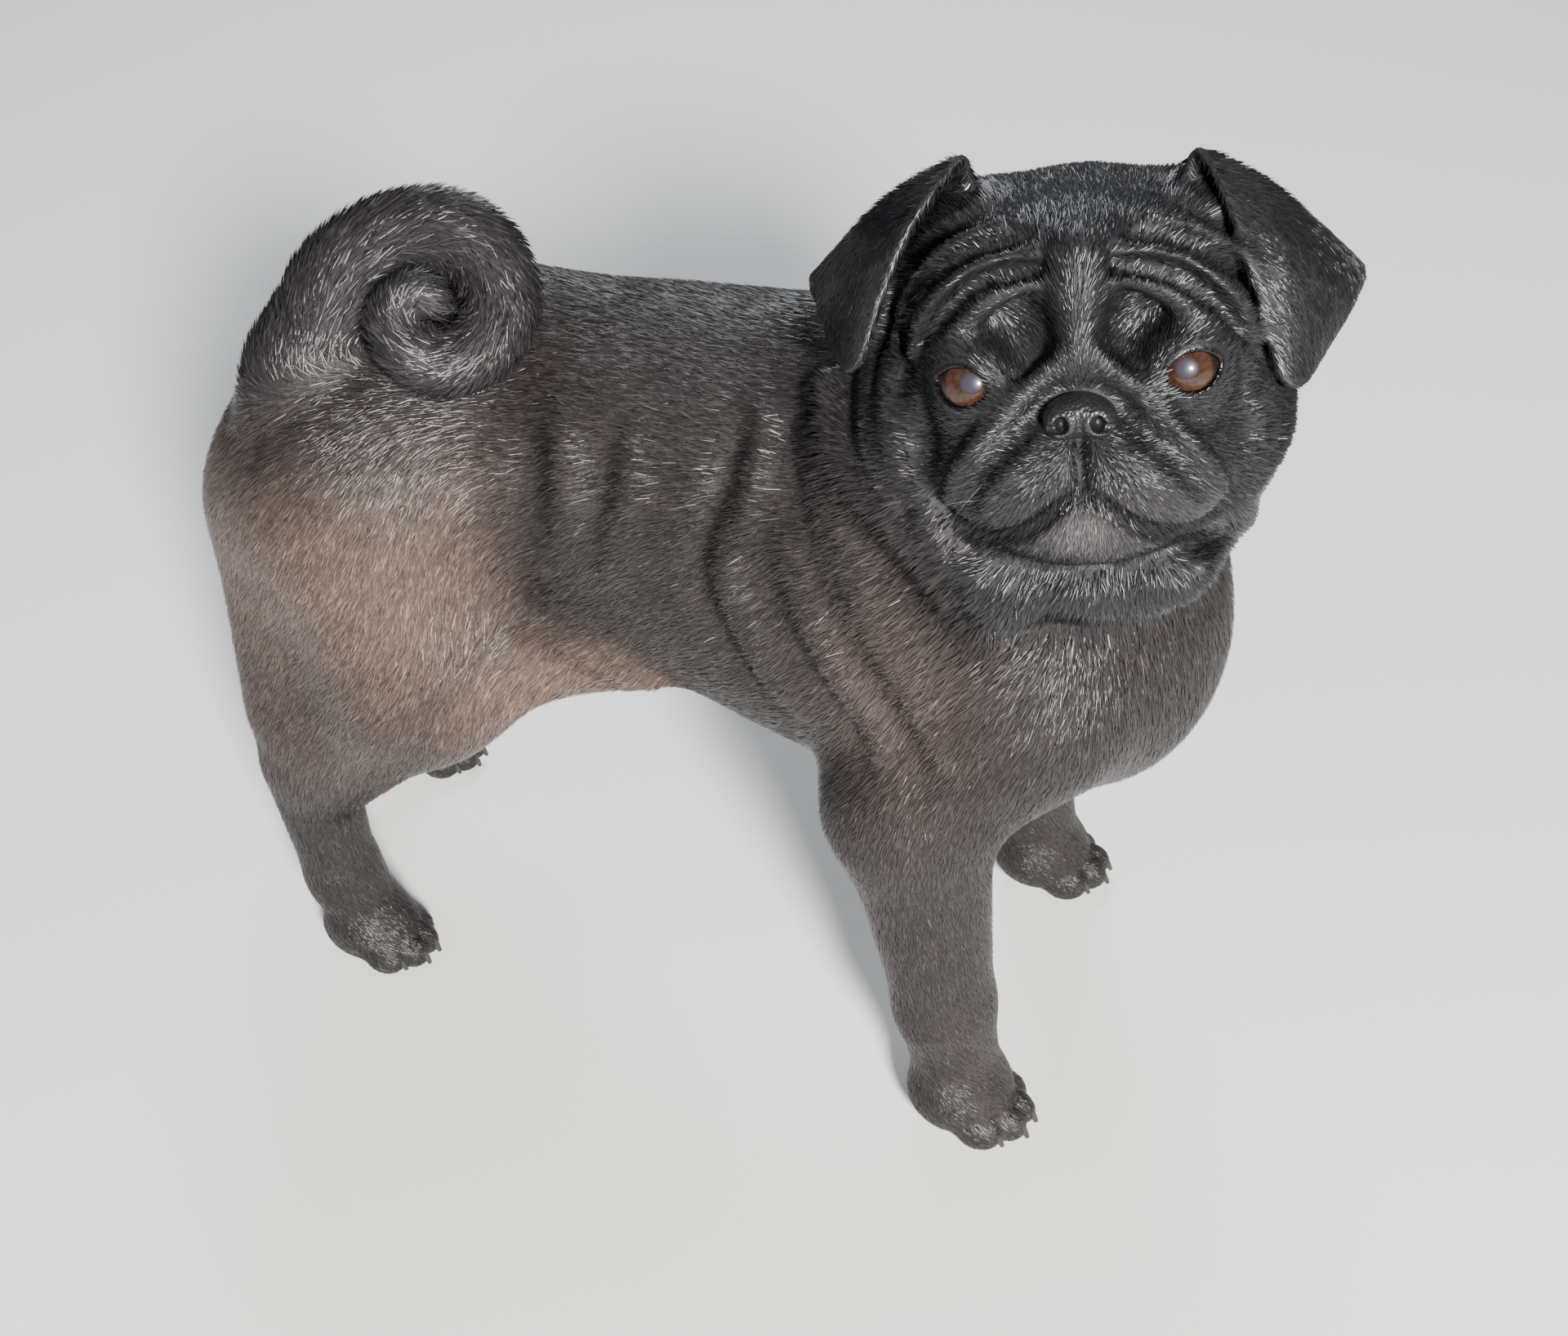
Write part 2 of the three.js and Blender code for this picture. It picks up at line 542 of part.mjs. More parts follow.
// Each part of the body: the flesh it takes in, the spine it is spread from, its fineness,
// and the planes it ends at, with 1 where it lies before the plane and -1 where it lies after
const body = {
  head: { flesh: ["head", "neck"], spine: [inHead(2, 0, -8), inHead(6, 0, -8)], mesh: MESH.head,
    crowd: 0.42, soft: 0.055, ends: [[NAPE, -1]] },
  torso: { flesh: ["torso", "neck"], spine: [vec(-126, 0, 226), vec(112, 0, 206)], mesh: MESH.torso,
    ends: [[NECK_BASE, 1]] },
  neck: { flesh: ["neck", "torso", "head"], spine: [vec(100, -2, 248), vec(122, -10, 286)],
    mesh: MESH.neck, soft: 0.08, ends: [[NECK_BASE, -1], [NAPE, 1]] },
};
for (const side of SIDES) {
  const name = sideName(side);
  const at = (shift, x, y, z) => vec(x + shift, side * y, z);
  const middle = { at: vec(0, side * GAP, 0), way: vec(0, -side, 0) };
  for (const [leg, shift, joint, low, top, knee, foot] of [
    ["fore", FORE_SHIFT[side], ELBOW, WRIST_TOP, [at(FORE_SHIFT[side], 112, 56, 186),
      at(FORE_SHIFT[side], 88, 67, 146)], [99, 70, 58], [104, 70, 24]],
    ["hind", HIND_SHIFT[side], HOCK, ANKLE, [at(HIND_SHIFT[side] * 0.6, -140, 46, 206),
      at(HIND_SHIFT[side], -148, 61, 128)], [-168, 62, 46], [-163, 60, 20]],
  ]) {
    const [upper, lower, pad] = [`${leg}leg_upper_${name}`, `${leg}leg_lower_${name}`, `${leg}paw_${name}`];
    const kneeTop = at(shift, leg === "fore" ? 90 : -172, leg === "fore" ? 69 : 62, joint.at.z - 4);
    body[upper] = { flesh: [upper, lower], spine: top, mesh: MESH.upper, ends: [[joint, 1], [middle, 1]] };
    body[lower] = { flesh: [upper, lower, pad], spine: [kneeTop, at(shift, ...knee)], mesh: MESH.lower,
      ends: [[joint, -1], [low, 1]] };
    body[pad] = { flesh: [pad, lower], spine: [at(shift, ...knee).setZ(low.at.z - 4), at(shift, ...foot)],
      mesh: MESH.paw, ends: [[low, -1]] };
  }
}

const solids = {};
const grown = {};
for (const [part, { flesh: parts, spine, mesh, crowd, soft, ends }] of Object.entries(body)) {
  const finish = (solid) => ends.reduce((left, [plane, side]) => trimmed(left, plane, side), solid);
  solids[part] = finish(wrap(parts, ...spine, mesh, { crowd, soft }));
  if (["head", "torso", "neck"].includes(part) || part.startsWith("hindleg_upper")) {
    const swollen = wrap(parts, ...spine, mesh, { crowd, soft, swell: GAP });
    grown[part] = part === "neck" ? finish(swollen) : swollen;
  }
}

// Eyeballs and nose, let into the head
function eyeBall(side, radius) {
  const geometry = welded(new THREE.SphereGeometry(radius, 14, 9));
  geometry.rotateZ(-Math.PI / 2);
  geometry.applyMatrix4(new THREE.Matrix4().makeBasis(...HEAD));
  return solidOf(geometry.translate(...eyeAt(side).toArray()));
}
for (const side of SIDES) {
  const name = `eye_${sideName(side)}`;
  solids[name] = eyeBall(side, EYE.radius);
  grown[name] = eyeBall(side, EYE.radius + GAP);
}

function headBall(forward, out, up, radii, sides = 16, rings = 10) {
  const geometry = welded(new THREE.SphereGeometry(1, sides, rings));
  geometry.rotateZ(-Math.PI / 2);
  geometry.scale(radii.x, radii.y, radii.z);
  geometry.applyMatrix4(new THREE.Matrix4().makeBasis(...HEAD));
  const at = inHead(forward, out, up);
  return solidOf(geometry.translate(at.x, at.y, at.z));
}
solids.nose = headBall(NOSE.forward, 0, NOSE.up, NOSE.radii, 16, 10);
grown.nose = headBall(NOSE.forward, 0, NOSE.up, NOSE.radii.clone().addScalar(GAP), 16, 10);
for (const side of SIDES) {
  solids.nose = solids.nose.subtract(headBall(NOSTRIL.forward, side * NOSTRIL.out, NOSTRIL.up,
    NOSTRIL.radii, 8, 6));
}

// The almond between the lids, as a short bar along the way the eye looks: two arcs that meet
// at the eye's corners, the upper one flatter
const OPENING_FROM = 4;
const ARC_STEPS = 8;
function opening(side) {
  const outline = [];
  for (const [way, high] of [[1, LID.high], [-1, LID.low]]) {
    const radius = (LID.wide ** 2 + high ** 2) / (2 * high);
    const half = Math.asin(LID.wide / radius);
    for (let i = 0; i < ARC_STEPS; i += 1) {
      const angle = way * half * (1 - 2 * i / ARC_STEPS);
      const across = radius * Math.sin(angle);
      outline.push(new THREE.Vector2(across, way * (high - radius + radius * Math.cos(angle))));
    }
  }
  const outward = vec(Math.cos(LID.turn), side * Math.sin(LID.turn), 0.06);
  const along = vec(-Math.sin(LID.turn), side * Math.cos(LID.turn), 0).multiplyScalar(Math.cos(LID.tilt));
  along.z += Math.sin(LID.tilt);
  outward.addScaledVector(along, -outward.dot(along)).normalize();
  const up = outward.clone().cross(along).multiplyScalar(side);
  const bar = welded(new THREE.ExtrudeGeometry(new THREE.Shape(outline),
    { depth: EYE.radius, bevelEnabled: false, steps: 1 }));
  bar.translate(0, 0, OPENING_FROM);
  bar.applyMatrix4(new THREE.Matrix4().makeBasis(along.multiplyScalar(side), up, outward));
  bar.applyMatrix4(new THREE.Matrix4().makeBasis(...HEAD));
  return solidOf(bar.translate(...eyeAt(side).toArray()));
}

function groove(points, thick) {
  const curve = new THREE.CatmullRomCurve3(points, false, "catmullrom", 0.5);
  return bent(curve, 0, 1, thick, 6, points.length * 2);
}
for (const side of SIDES) {
  solids.head = solids.head.add(eyeBall(side, EYE.radius + LID.shell)).subtract(opening(side));
  solids.head = solids.head.subtract(groove(LIP_LINE.path.map(([out, up]) => face(side * out, up, 0.6)),
    LIP_LINE.thick));
}
solids.head = solids.head.subtract(groove(PHILTRUM.path.map(([out, up]) => face(out, up, 0.4)),
  PHILTRUM.thick));
for (const name of ["eye_right", "eye_left", "nose"]) solids.head = solids.head.subtract(grown[name]);

// Ear, a closed sheet that rises from its root, folds and hangs
function ear(side) {
  const rows = EARS[side].map((row) => row.map(([forward, out, up]) => inHead(forward, side * out, up)));
  const smooth = (points) => new THREE.CatmullRomCurve3(points, false, "catmullrom", 0.5);
  const middle = (t, s) => smooth(rows.map((row) => smooth(row).getPoint(s))).getPoint(t);
  const sheet = welded(new THREE.BoxGeometry(1, 1, 1, EAR_STEPS.across, EAR_STEPS.along, 1));
  const position = sheet.attributes.position;
  for (let i = 0; i < position.count; i += 1) {
    const s = position.getX(i) + 0.5;
    const t = position.getY(i) + 0.5;
    const outer = Math.sign(position.getZ(i));
    const [a, b] = [Math.min(t, 0.98), Math.min(s, 0.98)];
    const normal = middle(a, b + 0.02).sub(middle(a, b)).cross(middle(a + 0.02, b).sub(middle(a, b)));
    const edge = Math.sqrt(Math.max(1 - (2 * s - 1) ** 6, 0.09)) * (t > 0.9 ? 0.7 : 1);
    const at = middle(t, s).addScaledVector(normal.normalize(), (outer * along(EAR_THICK, t) * edge) / 2);
    position.setXYZ(i, at.x, at.y, at.z);
  }
  return solidOf(sheet);
}
for (const side of SIDES) solids[`ear_${sideName(side)}`] = ear(side);

// Tail in three lengths, each end facing the next
const curlForward = vec(1, 0, 0).addScaledVector(CURL_AXIS, -CURL_AXIS.x).normalize();
const curlUp = CURL_AXIS.clone().cross(curlForward);
if (curlUp.z < 0) curlUp.negate();
const tailAt = ([forward, up, out]) => CURL_AT.clone().addScaledVector(curlForward, forward)
  .addScaledVector(curlUp, up).addScaledVector(CURL_AXIS, out);
const tube = TAIL.slice(0, 1 - TAIL_BALLS);
const tailCurve = new THREE.CatmullRomCurve3(tube.map(tailAt), false, "catmullrom", 0.5);
const tailThick = tube.map((step) => step[3]);
for (const [name, start, end, steps] of TAIL_PARTS) {
  const gap = start > 0 ? GAP / tailCurve.getLength() : 0;
  solids[name] = bent(tailCurve, start + gap, end, tailThick, TAIL_SIDES, steps);
  grown[name] = bent(tailCurve, start, end, tailThick, TAIL_SIDES, steps, GAP);
}
for (const step of TAIL.slice(-TAIL_BALLS)) {
  const ball = welded(new THREE.SphereGeometry(step[3], 10, 7));
  solids.tail_tip = solids.tail_tip.add(solidOf(ball.translate(...tailAt(step).toArray())));
}

// Claws, and the flat of the sole
const floor = () => solidOf(welded(new THREE.BoxGeometry(700, 400, 60)).translate(0, 0, -30));
for (const [name, { toes }] of Object.entries(paws)) {
  for (const { toe, heading } of toes) {
    const claw = welded(new THREE.CylinderGeometry(CLAW.tip, CLAW.root, CLAW.length, 6, 1));
    const lean = heading.clone().setZ(-0.62).normalize();
    claw.applyQuaternion(new THREE.Quaternion().setFromUnitVectors(vec(0, 1, 0), lean));
    const at = toe.clone().addScaledVector(heading, TOE_RADIUS * 1.2 + 0.5);
    claw.translate(at.x, at.y, at.z);
    solids[name] = solids[name].add(solidOf(claw));
  }
  solids[name] = solids[name].subtract(floor());
}

// Which neighbours are cut out of each part
const CUTS = {
  tail_base: ["torso", "hindleg_upper_right", "hindleg_upper_left"],
  tail_mid: ["torso", "hindleg_upper_right", "tail_base"],
  tail_tip: ["torso", "hindleg_upper_right", "tail_base", "tail_mid"],
};
for (const side of SIDES) {
  const name = sideName(side);
  CUTS[`ear_${name}`] = ["head"];
  for (const leg of ["foreleg", "hindleg"]) {
    CUTS[`${leg}_upper_${name}`] = ["torso", "neck"];
    CUTS[`${leg}_lower_${name}`] = ["torso"];
  }
}

const LOOKS = {
  eye: EYE_BROWN, nose: NOSE_BLACK, ear: EAR_BLACK, head: BLACK, neck: BLACK, torso: GREY_BLACK,
  tail: GREY_BLACK, foreleg: BROWN_BLACK, hindleg: BROWN_BLACK, forepaw: BLACK, hindpaw: BLACK,
};

const pug = new THREE.Group();
for (const [name, whole] of Object.entries(solids)) {
  let solid = whole;
  for (const neighbour of CUTS[name] ?? []) solid = solid.subtract(grown[neighbour]);
  const look = LOOKS[name.split("_")[0]];
  const closed = largest(solidOf(geometryOf(largest(solid))));
  const mesh = new THREE.Mesh(geometryOf(closed), new THREE.MeshStandardMaterial(look));
  mesh.name = name;
  pug.add(mesh);
}

// The origin is on the floor under the middle of the whole
const box = new THREE.Box3().setFromObject(pug);
const middle = box.getCenter(vec(0, 0, 0));
pug.position.set(-middle.x, -middle.y, -box.min.z);
pug.updateMatrixWorld(true);

export default pug;
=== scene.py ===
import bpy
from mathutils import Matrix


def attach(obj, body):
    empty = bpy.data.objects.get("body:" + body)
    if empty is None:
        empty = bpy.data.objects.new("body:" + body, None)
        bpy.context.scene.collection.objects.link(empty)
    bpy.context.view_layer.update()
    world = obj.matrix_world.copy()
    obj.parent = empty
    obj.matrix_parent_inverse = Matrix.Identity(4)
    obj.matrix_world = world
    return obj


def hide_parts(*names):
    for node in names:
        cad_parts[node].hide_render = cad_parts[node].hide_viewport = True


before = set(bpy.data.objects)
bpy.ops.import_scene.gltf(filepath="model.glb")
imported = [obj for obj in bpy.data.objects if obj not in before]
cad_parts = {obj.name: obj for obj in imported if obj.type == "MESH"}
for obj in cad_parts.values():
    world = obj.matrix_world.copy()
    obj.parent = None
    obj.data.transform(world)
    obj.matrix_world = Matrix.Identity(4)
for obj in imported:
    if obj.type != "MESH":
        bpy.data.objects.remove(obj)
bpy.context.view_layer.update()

import math
import bpy
import numpy as np
from mathutils import Matrix, Vector

# A black pug, standing still. The flesh is worked out in millimetres with ahead as +X, the
# dog's left as +Y and up as +Z, and is set in the model's own frame as each piece is made.
RIGHT, LEFT = -1, 1
SIDES = (RIGHT, LEFT)
NAMES = {RIGHT: "right", LEFT: "left"}
rng = np.random.default_rng(7)


def vec(*numbers):
    return np.array(numbers, float)


def unit(v):
    return v / np.maximum(np.linalg.norm(v, axis=-1, keepdims=True), 1e-9)


# Trunk: centre, radii, blend
CHEST = (vec(60, 0, 212), vec(98, 80, 84), 0)
LOINS = (vec(-22, 0, 226), vec(112, 72, 70), 30)
RUMP = (vec(-118, 0, 234), vec(76, 64, 60), 30)
BREAST = (vec(132, 4, 188), vec(50, 62, 60), 25)
SHOULDER = dict(at=(88, 50, 232), radii=vec(46, 32, 62), blend=20)
NECK = dict(start=vec(92, 0, 238), end=vec(128, -10, 292), thick=(74, 60), blend=28)

# The left legs stand further back than the right ones
FORE_SHIFT = {RIGHT: 0, LEFT: -8}
HIND_SHIFT = {RIGHT: 0, LEFT: -40}
# Leg pieces: x, y, z, thickness, share of the shift
ARM = ((122, 52, 192, 38, 1), (84, 66, 150, 31, 1))
FOREARM = ((88, 69, 146, 29, 1), (99, 70, 58, 18.5, 1))
WRIST = ((99, 70, 56, 19, 1), (104, 70, 26, 17, 1))
THIGH = ((-130, 40, 226, 56, 0.5), (-112, 60, 160, 36, 0.9))
HAMSTRING = ((-166, 38, 210, 36, 0.6), (-168, 58, 130, 26, 1))
GASKIN = ((-116, 62, 150, 30, 1), (-158, 62, 104, 23, 1))
FLANK_FOLD = ((-92, 58, 166, 22, 0.9), (-36, 46, 176, 16, 0.5))
SHANK = ((-172, 62, 100, 19, 1), (-166, 62, 40, 15, 1))
PASTERN = ((-166, 61, 42, 15, 1), (-160, 60, 24, 15, 1))

FORE_PAW = dict(x=106, y=71, out=6, long=21, wide=20, high=15)
HIND_PAW = dict(x=-158, y=60, out=4, long=22, wide=18, high=14)
TOES = ((12, -0.62), (19, -0.22), (19, 0.22), (12, 0.62))
TOE_RADIUS = 8.2
CLAW = dict(length=4.6, root=2.3, tip=0.9)
SOLE = 1.2

# Head: centre of the skull and the way it faces
HEAD_AT = vec(133, -24, 309)
HEAD_YAW, HEAD_PITCH, HEAD_ROLL = np.radians((-78, 20, 4.5))
EYE = dict(forward=43, out={RIGHT: 32.5, LEFT: 30.5}, up={RIGHT: 3.2, LEFT: 5.2}, radius=11.5)
# Lids: how thick they lie over the ball, how softly they blend, the almond between them, and how
# far in front of the ball's middle their opening ends
LID = dict(thick=1.3, blend=9, edge=1.2, wide=8.2, high=4.9, low=5.8, tilt=math.radians(11),
           turn=math.radians(16), behind=4)
NOSE = dict(forward=58.6, up=-5.2, radii=vec(7.5, 10, 7))
NOSTRIL = dict(forward=65.1, out=5.4, up=-7, radii=vec(5, 2.1, 2.6))

# Lumps of the head: forward, out and up from the middle of the skull, radii, blend
SKULL = (
    (-14, 0, 12, vec(54, 58, 50), 16),
    (10, 0, -20, vec(50, 61, 42), 20),
    (28, 0, 26, vec(26, 46, 28), 18),
    (46, 0, -27, vec(20, 37, 20), 14),
    (48, 17, -24, vec(19, 19, 16), 8),
    (-10, 36, 40, vec(28, 20, 18), 14),
    (46, 0, -41, vec(17, 27, 12), 4),
)
# Hollows above the eyes and in the cheeks, in the same order
BROW_HOLLOW = (61, 20.5, 19.5, vec(17, 14.5, 12.5), 14)
CHEEK_HOLLOW = (43, 50, -13, vec(7, 5, 10), 7)
THROAT = ((25, 15, -62, vec(17, 17, 15), 6), (22, 0, -64, vec(17, 14, 16), 6))
EAR_ROOT = (-8, 56, 34, vec(12, 12, 16), 6)
# Lobes of loose skin under the jaw, from the dog's right to its left
LOBES = ((36, -28, -64, vec(8, 12, 15), 7), (35, -2, -64, vec(9, 14, 9), 6),
         (34, 26, -61, vec(9, 11, 10), 6))

# Where the two halves of the mouth's line and the groove under the nose meet, out and up
MOUTH_MIDDLE = (0, -27.5)
# Folds of the face: points out and up from the middle of the face, thicknesses, blend,
# rise of the fold's middle above the flesh, and way, which is -1 for a groove
FOLDS = (
    dict(path=((0, 10), (0, 22), (0, 40)), thick=(3.5, 5, 8), blend=12, rise=-1, sides=(0,)),
    dict(path=((41, 12), (35, 20), (26, 29), (14, 34)), thick=(2.5, 4, 4.5, 3), blend=5, rise=0.8),
    dict(path=((22, 5), (28, 11.5), (36, 14), (44, 12), (49, 3)), thick=(2, 2.6, 2.8, 2.6, 1.8),
         blend=4, rise=-0.3),
    dict(path=((51, 11), (47, 21), (38, 31), (26, 38), (13, 41)), thick=(3, 4, 4.3, 4, 3), blend=4,
         rise=1),
    dict(path=((58, 4), (56, 18), (48, 32), (36, 43), (22, 49)), thick=(3, 4, 4.3, 4, 3), blend=4,
         rise=1),
    dict(path=((46, 14), (40, 24), (31, 32), (21, 36), (11, 37)), thick=(2, 2.8, 3.2, 2.8, 1.8),
         blend=3.5, rise=0.8, way=-1),
    dict(path=((55, 12), (51, 25), (42, 36), (32, 42), (16, 46)), thick=(2, 2.8, 3.2, 2.8, 1.8),
         blend=3.5, rise=0.8, way=-1),
    dict(path=((60, 10), (58, 22), (51, 37), (38, 48), (26, 54)), thick=(1.8, 2.6, 3, 2.6, 1.6),
         blend=3.5, rise=1, way=-1),
    dict(path=((0, 14), (6, 10), (13, 4), (22, -5), (31, -14), (38, -23), (41, -31)),
         thick=(3, 4, 4.6, 4.3, 3.5, 2.5, 1.5), blend=5, rise=0),
    dict(path=((9, 15), (16, 10), (24, 2)), thick=(1.4, 2.2, 1.2), blend=3, rise=1, way=-1),
    dict(path=((12, -4), (17, -9), (24, -15), (31, -23), (35, -32)), thick=(2, 2.6, 2.8, 2.2, 1.2),
         blend=4, rise=0.6, way=-1),
    dict(path=((27, -6), (34, -9), (42, -8), (48, -3)), thick=(1.2, 1.8, 1.8, 1.2), blend=4,
         rise=0.6, way=-1),
    dict(path=((60, 6), (61, -5), (59, -20), (52, -32)), thick=(3, 4, 4.5, 3), blend=6, rise=-0.5),
    dict(path=((47, -37), (47, -45), (42, -53), (34, -59)), thick=(4, 5.5, 6, 5), blend=5, rise=-2),
    dict(path=((63, 26), (67, 5), (67, -15), (60, -34)), thick=(3, 4.5, 4.5, 3), blend=6, rise=-1,
         sides=(RIGHT,)),
    dict(path=((0, -27.5), (6, -31), (12, -36), (20, -41), (30, -43.5), (39, -40.5), (44, -33)),
         thick=(1.8, 2.3, 2.5, 2.6, 2.5, 2.4, 2), blend=2.5, rise=0.2, way=-1),
    dict(path=((0, -11), (0, -19), (0, -27.5)), thick=(1.5, 1.6, 1.8), blend=2, rise=0.2, way=-1,
         sides=(0,)),
)

# Loose skin on the shoulders, ribs and loin: x and z along the fold, thicknesses, rise of its
# middle above the flesh, and way, which is -1 for a groove
BODY_FOLDS = (
    dict(path=((25, 280), (23, 269), (26, 250)), thick=(1.5, 4.5, 3), rise=4.4, way=-1),
    dict(path=((16, 258), (15, 240), (21, 222), (30, 200)), thick=(1.5, 4.5, 4.5, 2), rise=4.4,
         way=-1),
    dict(path=((29, 282), (31, 273), (30, 259), (25, 242), (28, 228), (37, 209), (48, 188)),
         thick=(1.5, 4.5, 5.5, 5.5, 5.5, 5, 2), rise=-4, way=1),
    dict(path=((40, 284), (47, 273), (53, 258), (57, 241)), thick=(2, 5, 5.5, 3), rise=4.4, way=-1),
    dict(path=((42, 240), (49, 224), (59, 206), (72, 184)), thick=(2, 4.5, 4.5, 2), rise=4.4,
         way=-1),
    dict(path=((50, 252), (58, 232), (68, 212), (82, 188)), thick=(2, 5.5, 6, 3), rise=-4.5, way=1),
    dict(path=((62, 268), (65, 252), (74, 230), (86, 207), (98, 184)), thick=(2, 5, 5, 4, 2),
         rise=4, way=-1),
    dict(path=((58, 288), (66, 274), (74, 254), (84, 232), (95, 208), (104, 190)),
         thick=(2, 6, 6.5, 6, 5, 2), rise=-5, way=1),
    dict(path=((-27, 270), (-24, 264), (-23, 255), (-27, 240)), thick=(1.5, 4.5, 4.5, 2), rise=5.5,
         way=-1),
    dict(path=((-15, 270), (-14, 262), (-15, 250), (-19, 226)), thick=(1.5, 5, 5, 2), rise=-6.5,
         way=1),
    dict(path=((-44, 271), (-43, 264), (-41, 254), (-43, 236)), thick=(1.5, 5, 5, 2), rise=-6.5,
         way=1),
    dict(path=((-56, 268), (-54, 258), (-50, 238)), thick=(1.5, 4, 2), rise=5, way=-1),
    dict(path=((-58, 190), (-44, 188), (-30, 183), (-17, 172)), thick=(1, 4, 5, 3), rise=-4, way=1),
)
BODY_FOLD_BLEND = 10
# A ridge of loose skin on the neck, behind the cheek that the head is turned towards
COLLAR = dict(path=((50, -42, 297), (62, -62, 287), (79, -75, 280), (96, -82, 270), (107, -83, 256),
                    (116, -80, 240)), thick=(4, 6, 6.5, 6.5, 6, 4), blend=9)

# Ears: rows from the root over the fold to the tip, each from the front edge to the rear edge,
# as forward, outward and up from the head's middle
EARS = {
    RIGHT: (
        ((4, 35, 59), (-6, 45, 57), (-16, 55, 49), (-22, 62, 32)),
        ((10, 37, 67), (4, 52, 59), (-6, 71, 46), (-16, 87, 31)),
        ((24, 54, 45), (20, 65, 37), (12, 75, 29), (0, 84, 22)),
        ((26, 69, 9), (25, 72, 6), (22, 75, 7), (14, 79, 14)),
    ),
    LEFT: (
        ((4, 32, 56), (-6, 41, 55), (-16, 50, 45), (-22, 57, 28)),
        ((10, 37, 65), (4, 53, 55), (-6, 70, 41), (-16, 84, 26)),
        ((24, 50, 37), (20, 62, 32), (12, 73, 26), (0, 82, 17)),
        ((26, 59, 0), (25, 62, -4), (22, 66, -4), (14, 71, 2)),
    ),
}
EAR_THICK = (4.8, 3.8, 3.4)

# Tail: forward, up and out from the middle of the curl, thickness
CURL_AT = vec(-104, -36, 300)
CURL_AXIS = unit(vec(0.18, -0.76, 0.62))
TAIL = np.array((
    (-38, -56, -38, 22), (-40, -38, -26, 21), (-37, -14, -13, 19.5), (-29, 7, -5, 18.5),
    (-14, 21, -2, 17.5), (4, 27, 0, 16.5), (20, 22, 1, 15.5), (30, 7, 3, 14.5), (28, -9, 7, 13.5),
    (18, -18, 13, 12.5), (7, -17, 18, 11.5), (0, -8, 20, 10.5), (5, 2, 21, 9.5), (13, 1, 21, 8),
), float)


# Axes of the head: facing, its left, its up
def head_axes():
    level_share = math.cos(HEAD_PITCH)
    facing = vec(math.cos(HEAD_YAW) * level_share, math.sin(HEAD_YAW) * level_share,
                 math.sin(HEAD_PITCH))
    level = vec(-math.sin(HEAD_YAW), math.cos(HEAD_YAW), 0)
    crown = np.cross(facing, level)
    left = math.cos(HEAD_ROLL) * level + math.sin(HEAD_ROLL) * crown
    up = math.cos(HEAD_ROLL) * crown - math.sin(HEAD_ROLL) * level
    return np.array((facing, left, up))


HEAD = head_axes()


def in_head(forward, left, up):
    return HEAD_AT + vec(forward, left, up) @ HEAD


# How far the dog's frame lies from the model's, which has its origin under the middle of the whole
SHIFT = vec(10.72, -0.07, 0)


def smooth_path(points, count):
    """Points along a Catmull-Rom curve."""
    p = np.array(points, float)
    p = np.vstack((2 * p[0] - p[1], p, 2 * p[-1] - p[-2]))
    spans = len(p) - 3
    t = np.linspace(0, spans, count)
    i = np.minimum(t.astype(int), spans - 1)
    s = (t - i)[:, None]
    a, b, c, d = p[i], p[i + 1], p[i + 2], p[i + 3]
    return 0.5 * (2 * b + (c - a) * s + (2 * a - 5 * b + 4 * c - d) * s ** 2
                  + (-a + 3 * b - 3 * c + d) * s ** 3)


def smoothstep(x, start, end):
    t = np.clip((x - start) / (end - start), 0, 1)
    return t * t * (3 - 2 * t)


# Signed distances of simple solids, each with the box it lies in
def join(a, b, blend):
    if blend <= 0:
        return np.minimum(a, b)
    h = np.maximum(blend - np.abs(a - b), 0) / blend
    return np.minimum(a, b) - h * h * blend / 4


def cut(a, b, blend):
    h = np.maximum(blend - np.abs(a + b), 0) / blend
    return np.maximum(a, -b) + h * h * blend / 4


def ellipsoid(centre, radii, axes=np.eye(3)):
    reach = np.sqrt(((axes * radii[:, None]) ** 2).sum(0))

    def distance(p):
        q = (p - centre) @ axes.T
        near = np.linalg.norm(q / radii, axis=-1)
        slope = np.linalg.norm(q / radii ** 2, axis=-1)
        return np.where(slope < 1e-9, -radii.min(), near * (near - 1) / np.maximum(slope, 1e-9))
    return distance, centre - reach, centre + reach


def taper(start, end, thick_start, thick_end):
    """Two balls and the cone that wraps them."""
    along = end - start
    length = np.sqrt(along @ along)
    lean = np.clip((thick_start - thick_end) / length, -0.99, 0.99)
    rise = math.sqrt(1 - lean * lean)

    def distance(p):
        q = p - start
        y = q @ along / length
        x = np.sqrt(np.maximum((q * q).sum(-1) - y * y, 0))
        before = y * rise - x * lean
        d = x * rise + y * lean - thick_start
        d = np.where(before < 0, np.hypot(x, y) - thick_start, d)
        return np.where(before > length * rise, np.hypot(x, y - length) - thick_end, d)
    wide = max(thick_start, thick_end)
    return distance, np.minimum(start, end) - wide, np.maximum(start, end) + wide


def strand(points, thick):
    count = 3 * len(points)
    path = smooth_path(points, count)
    radii = np.interp(np.linspace(0, 1, count), np.linspace(0, 1, len(thick)), thick)
    pieces = [taper(path[i], path[i + 1], radii[i], radii[i + 1]) for i in range(count - 1)]

    def distance(p):
        return np.min([piece[0](p) for piece in pieces], 0)
    return distance, np.min([q[1] for q in pieces], 0), np.max([q[2] for q in pieces], 0)


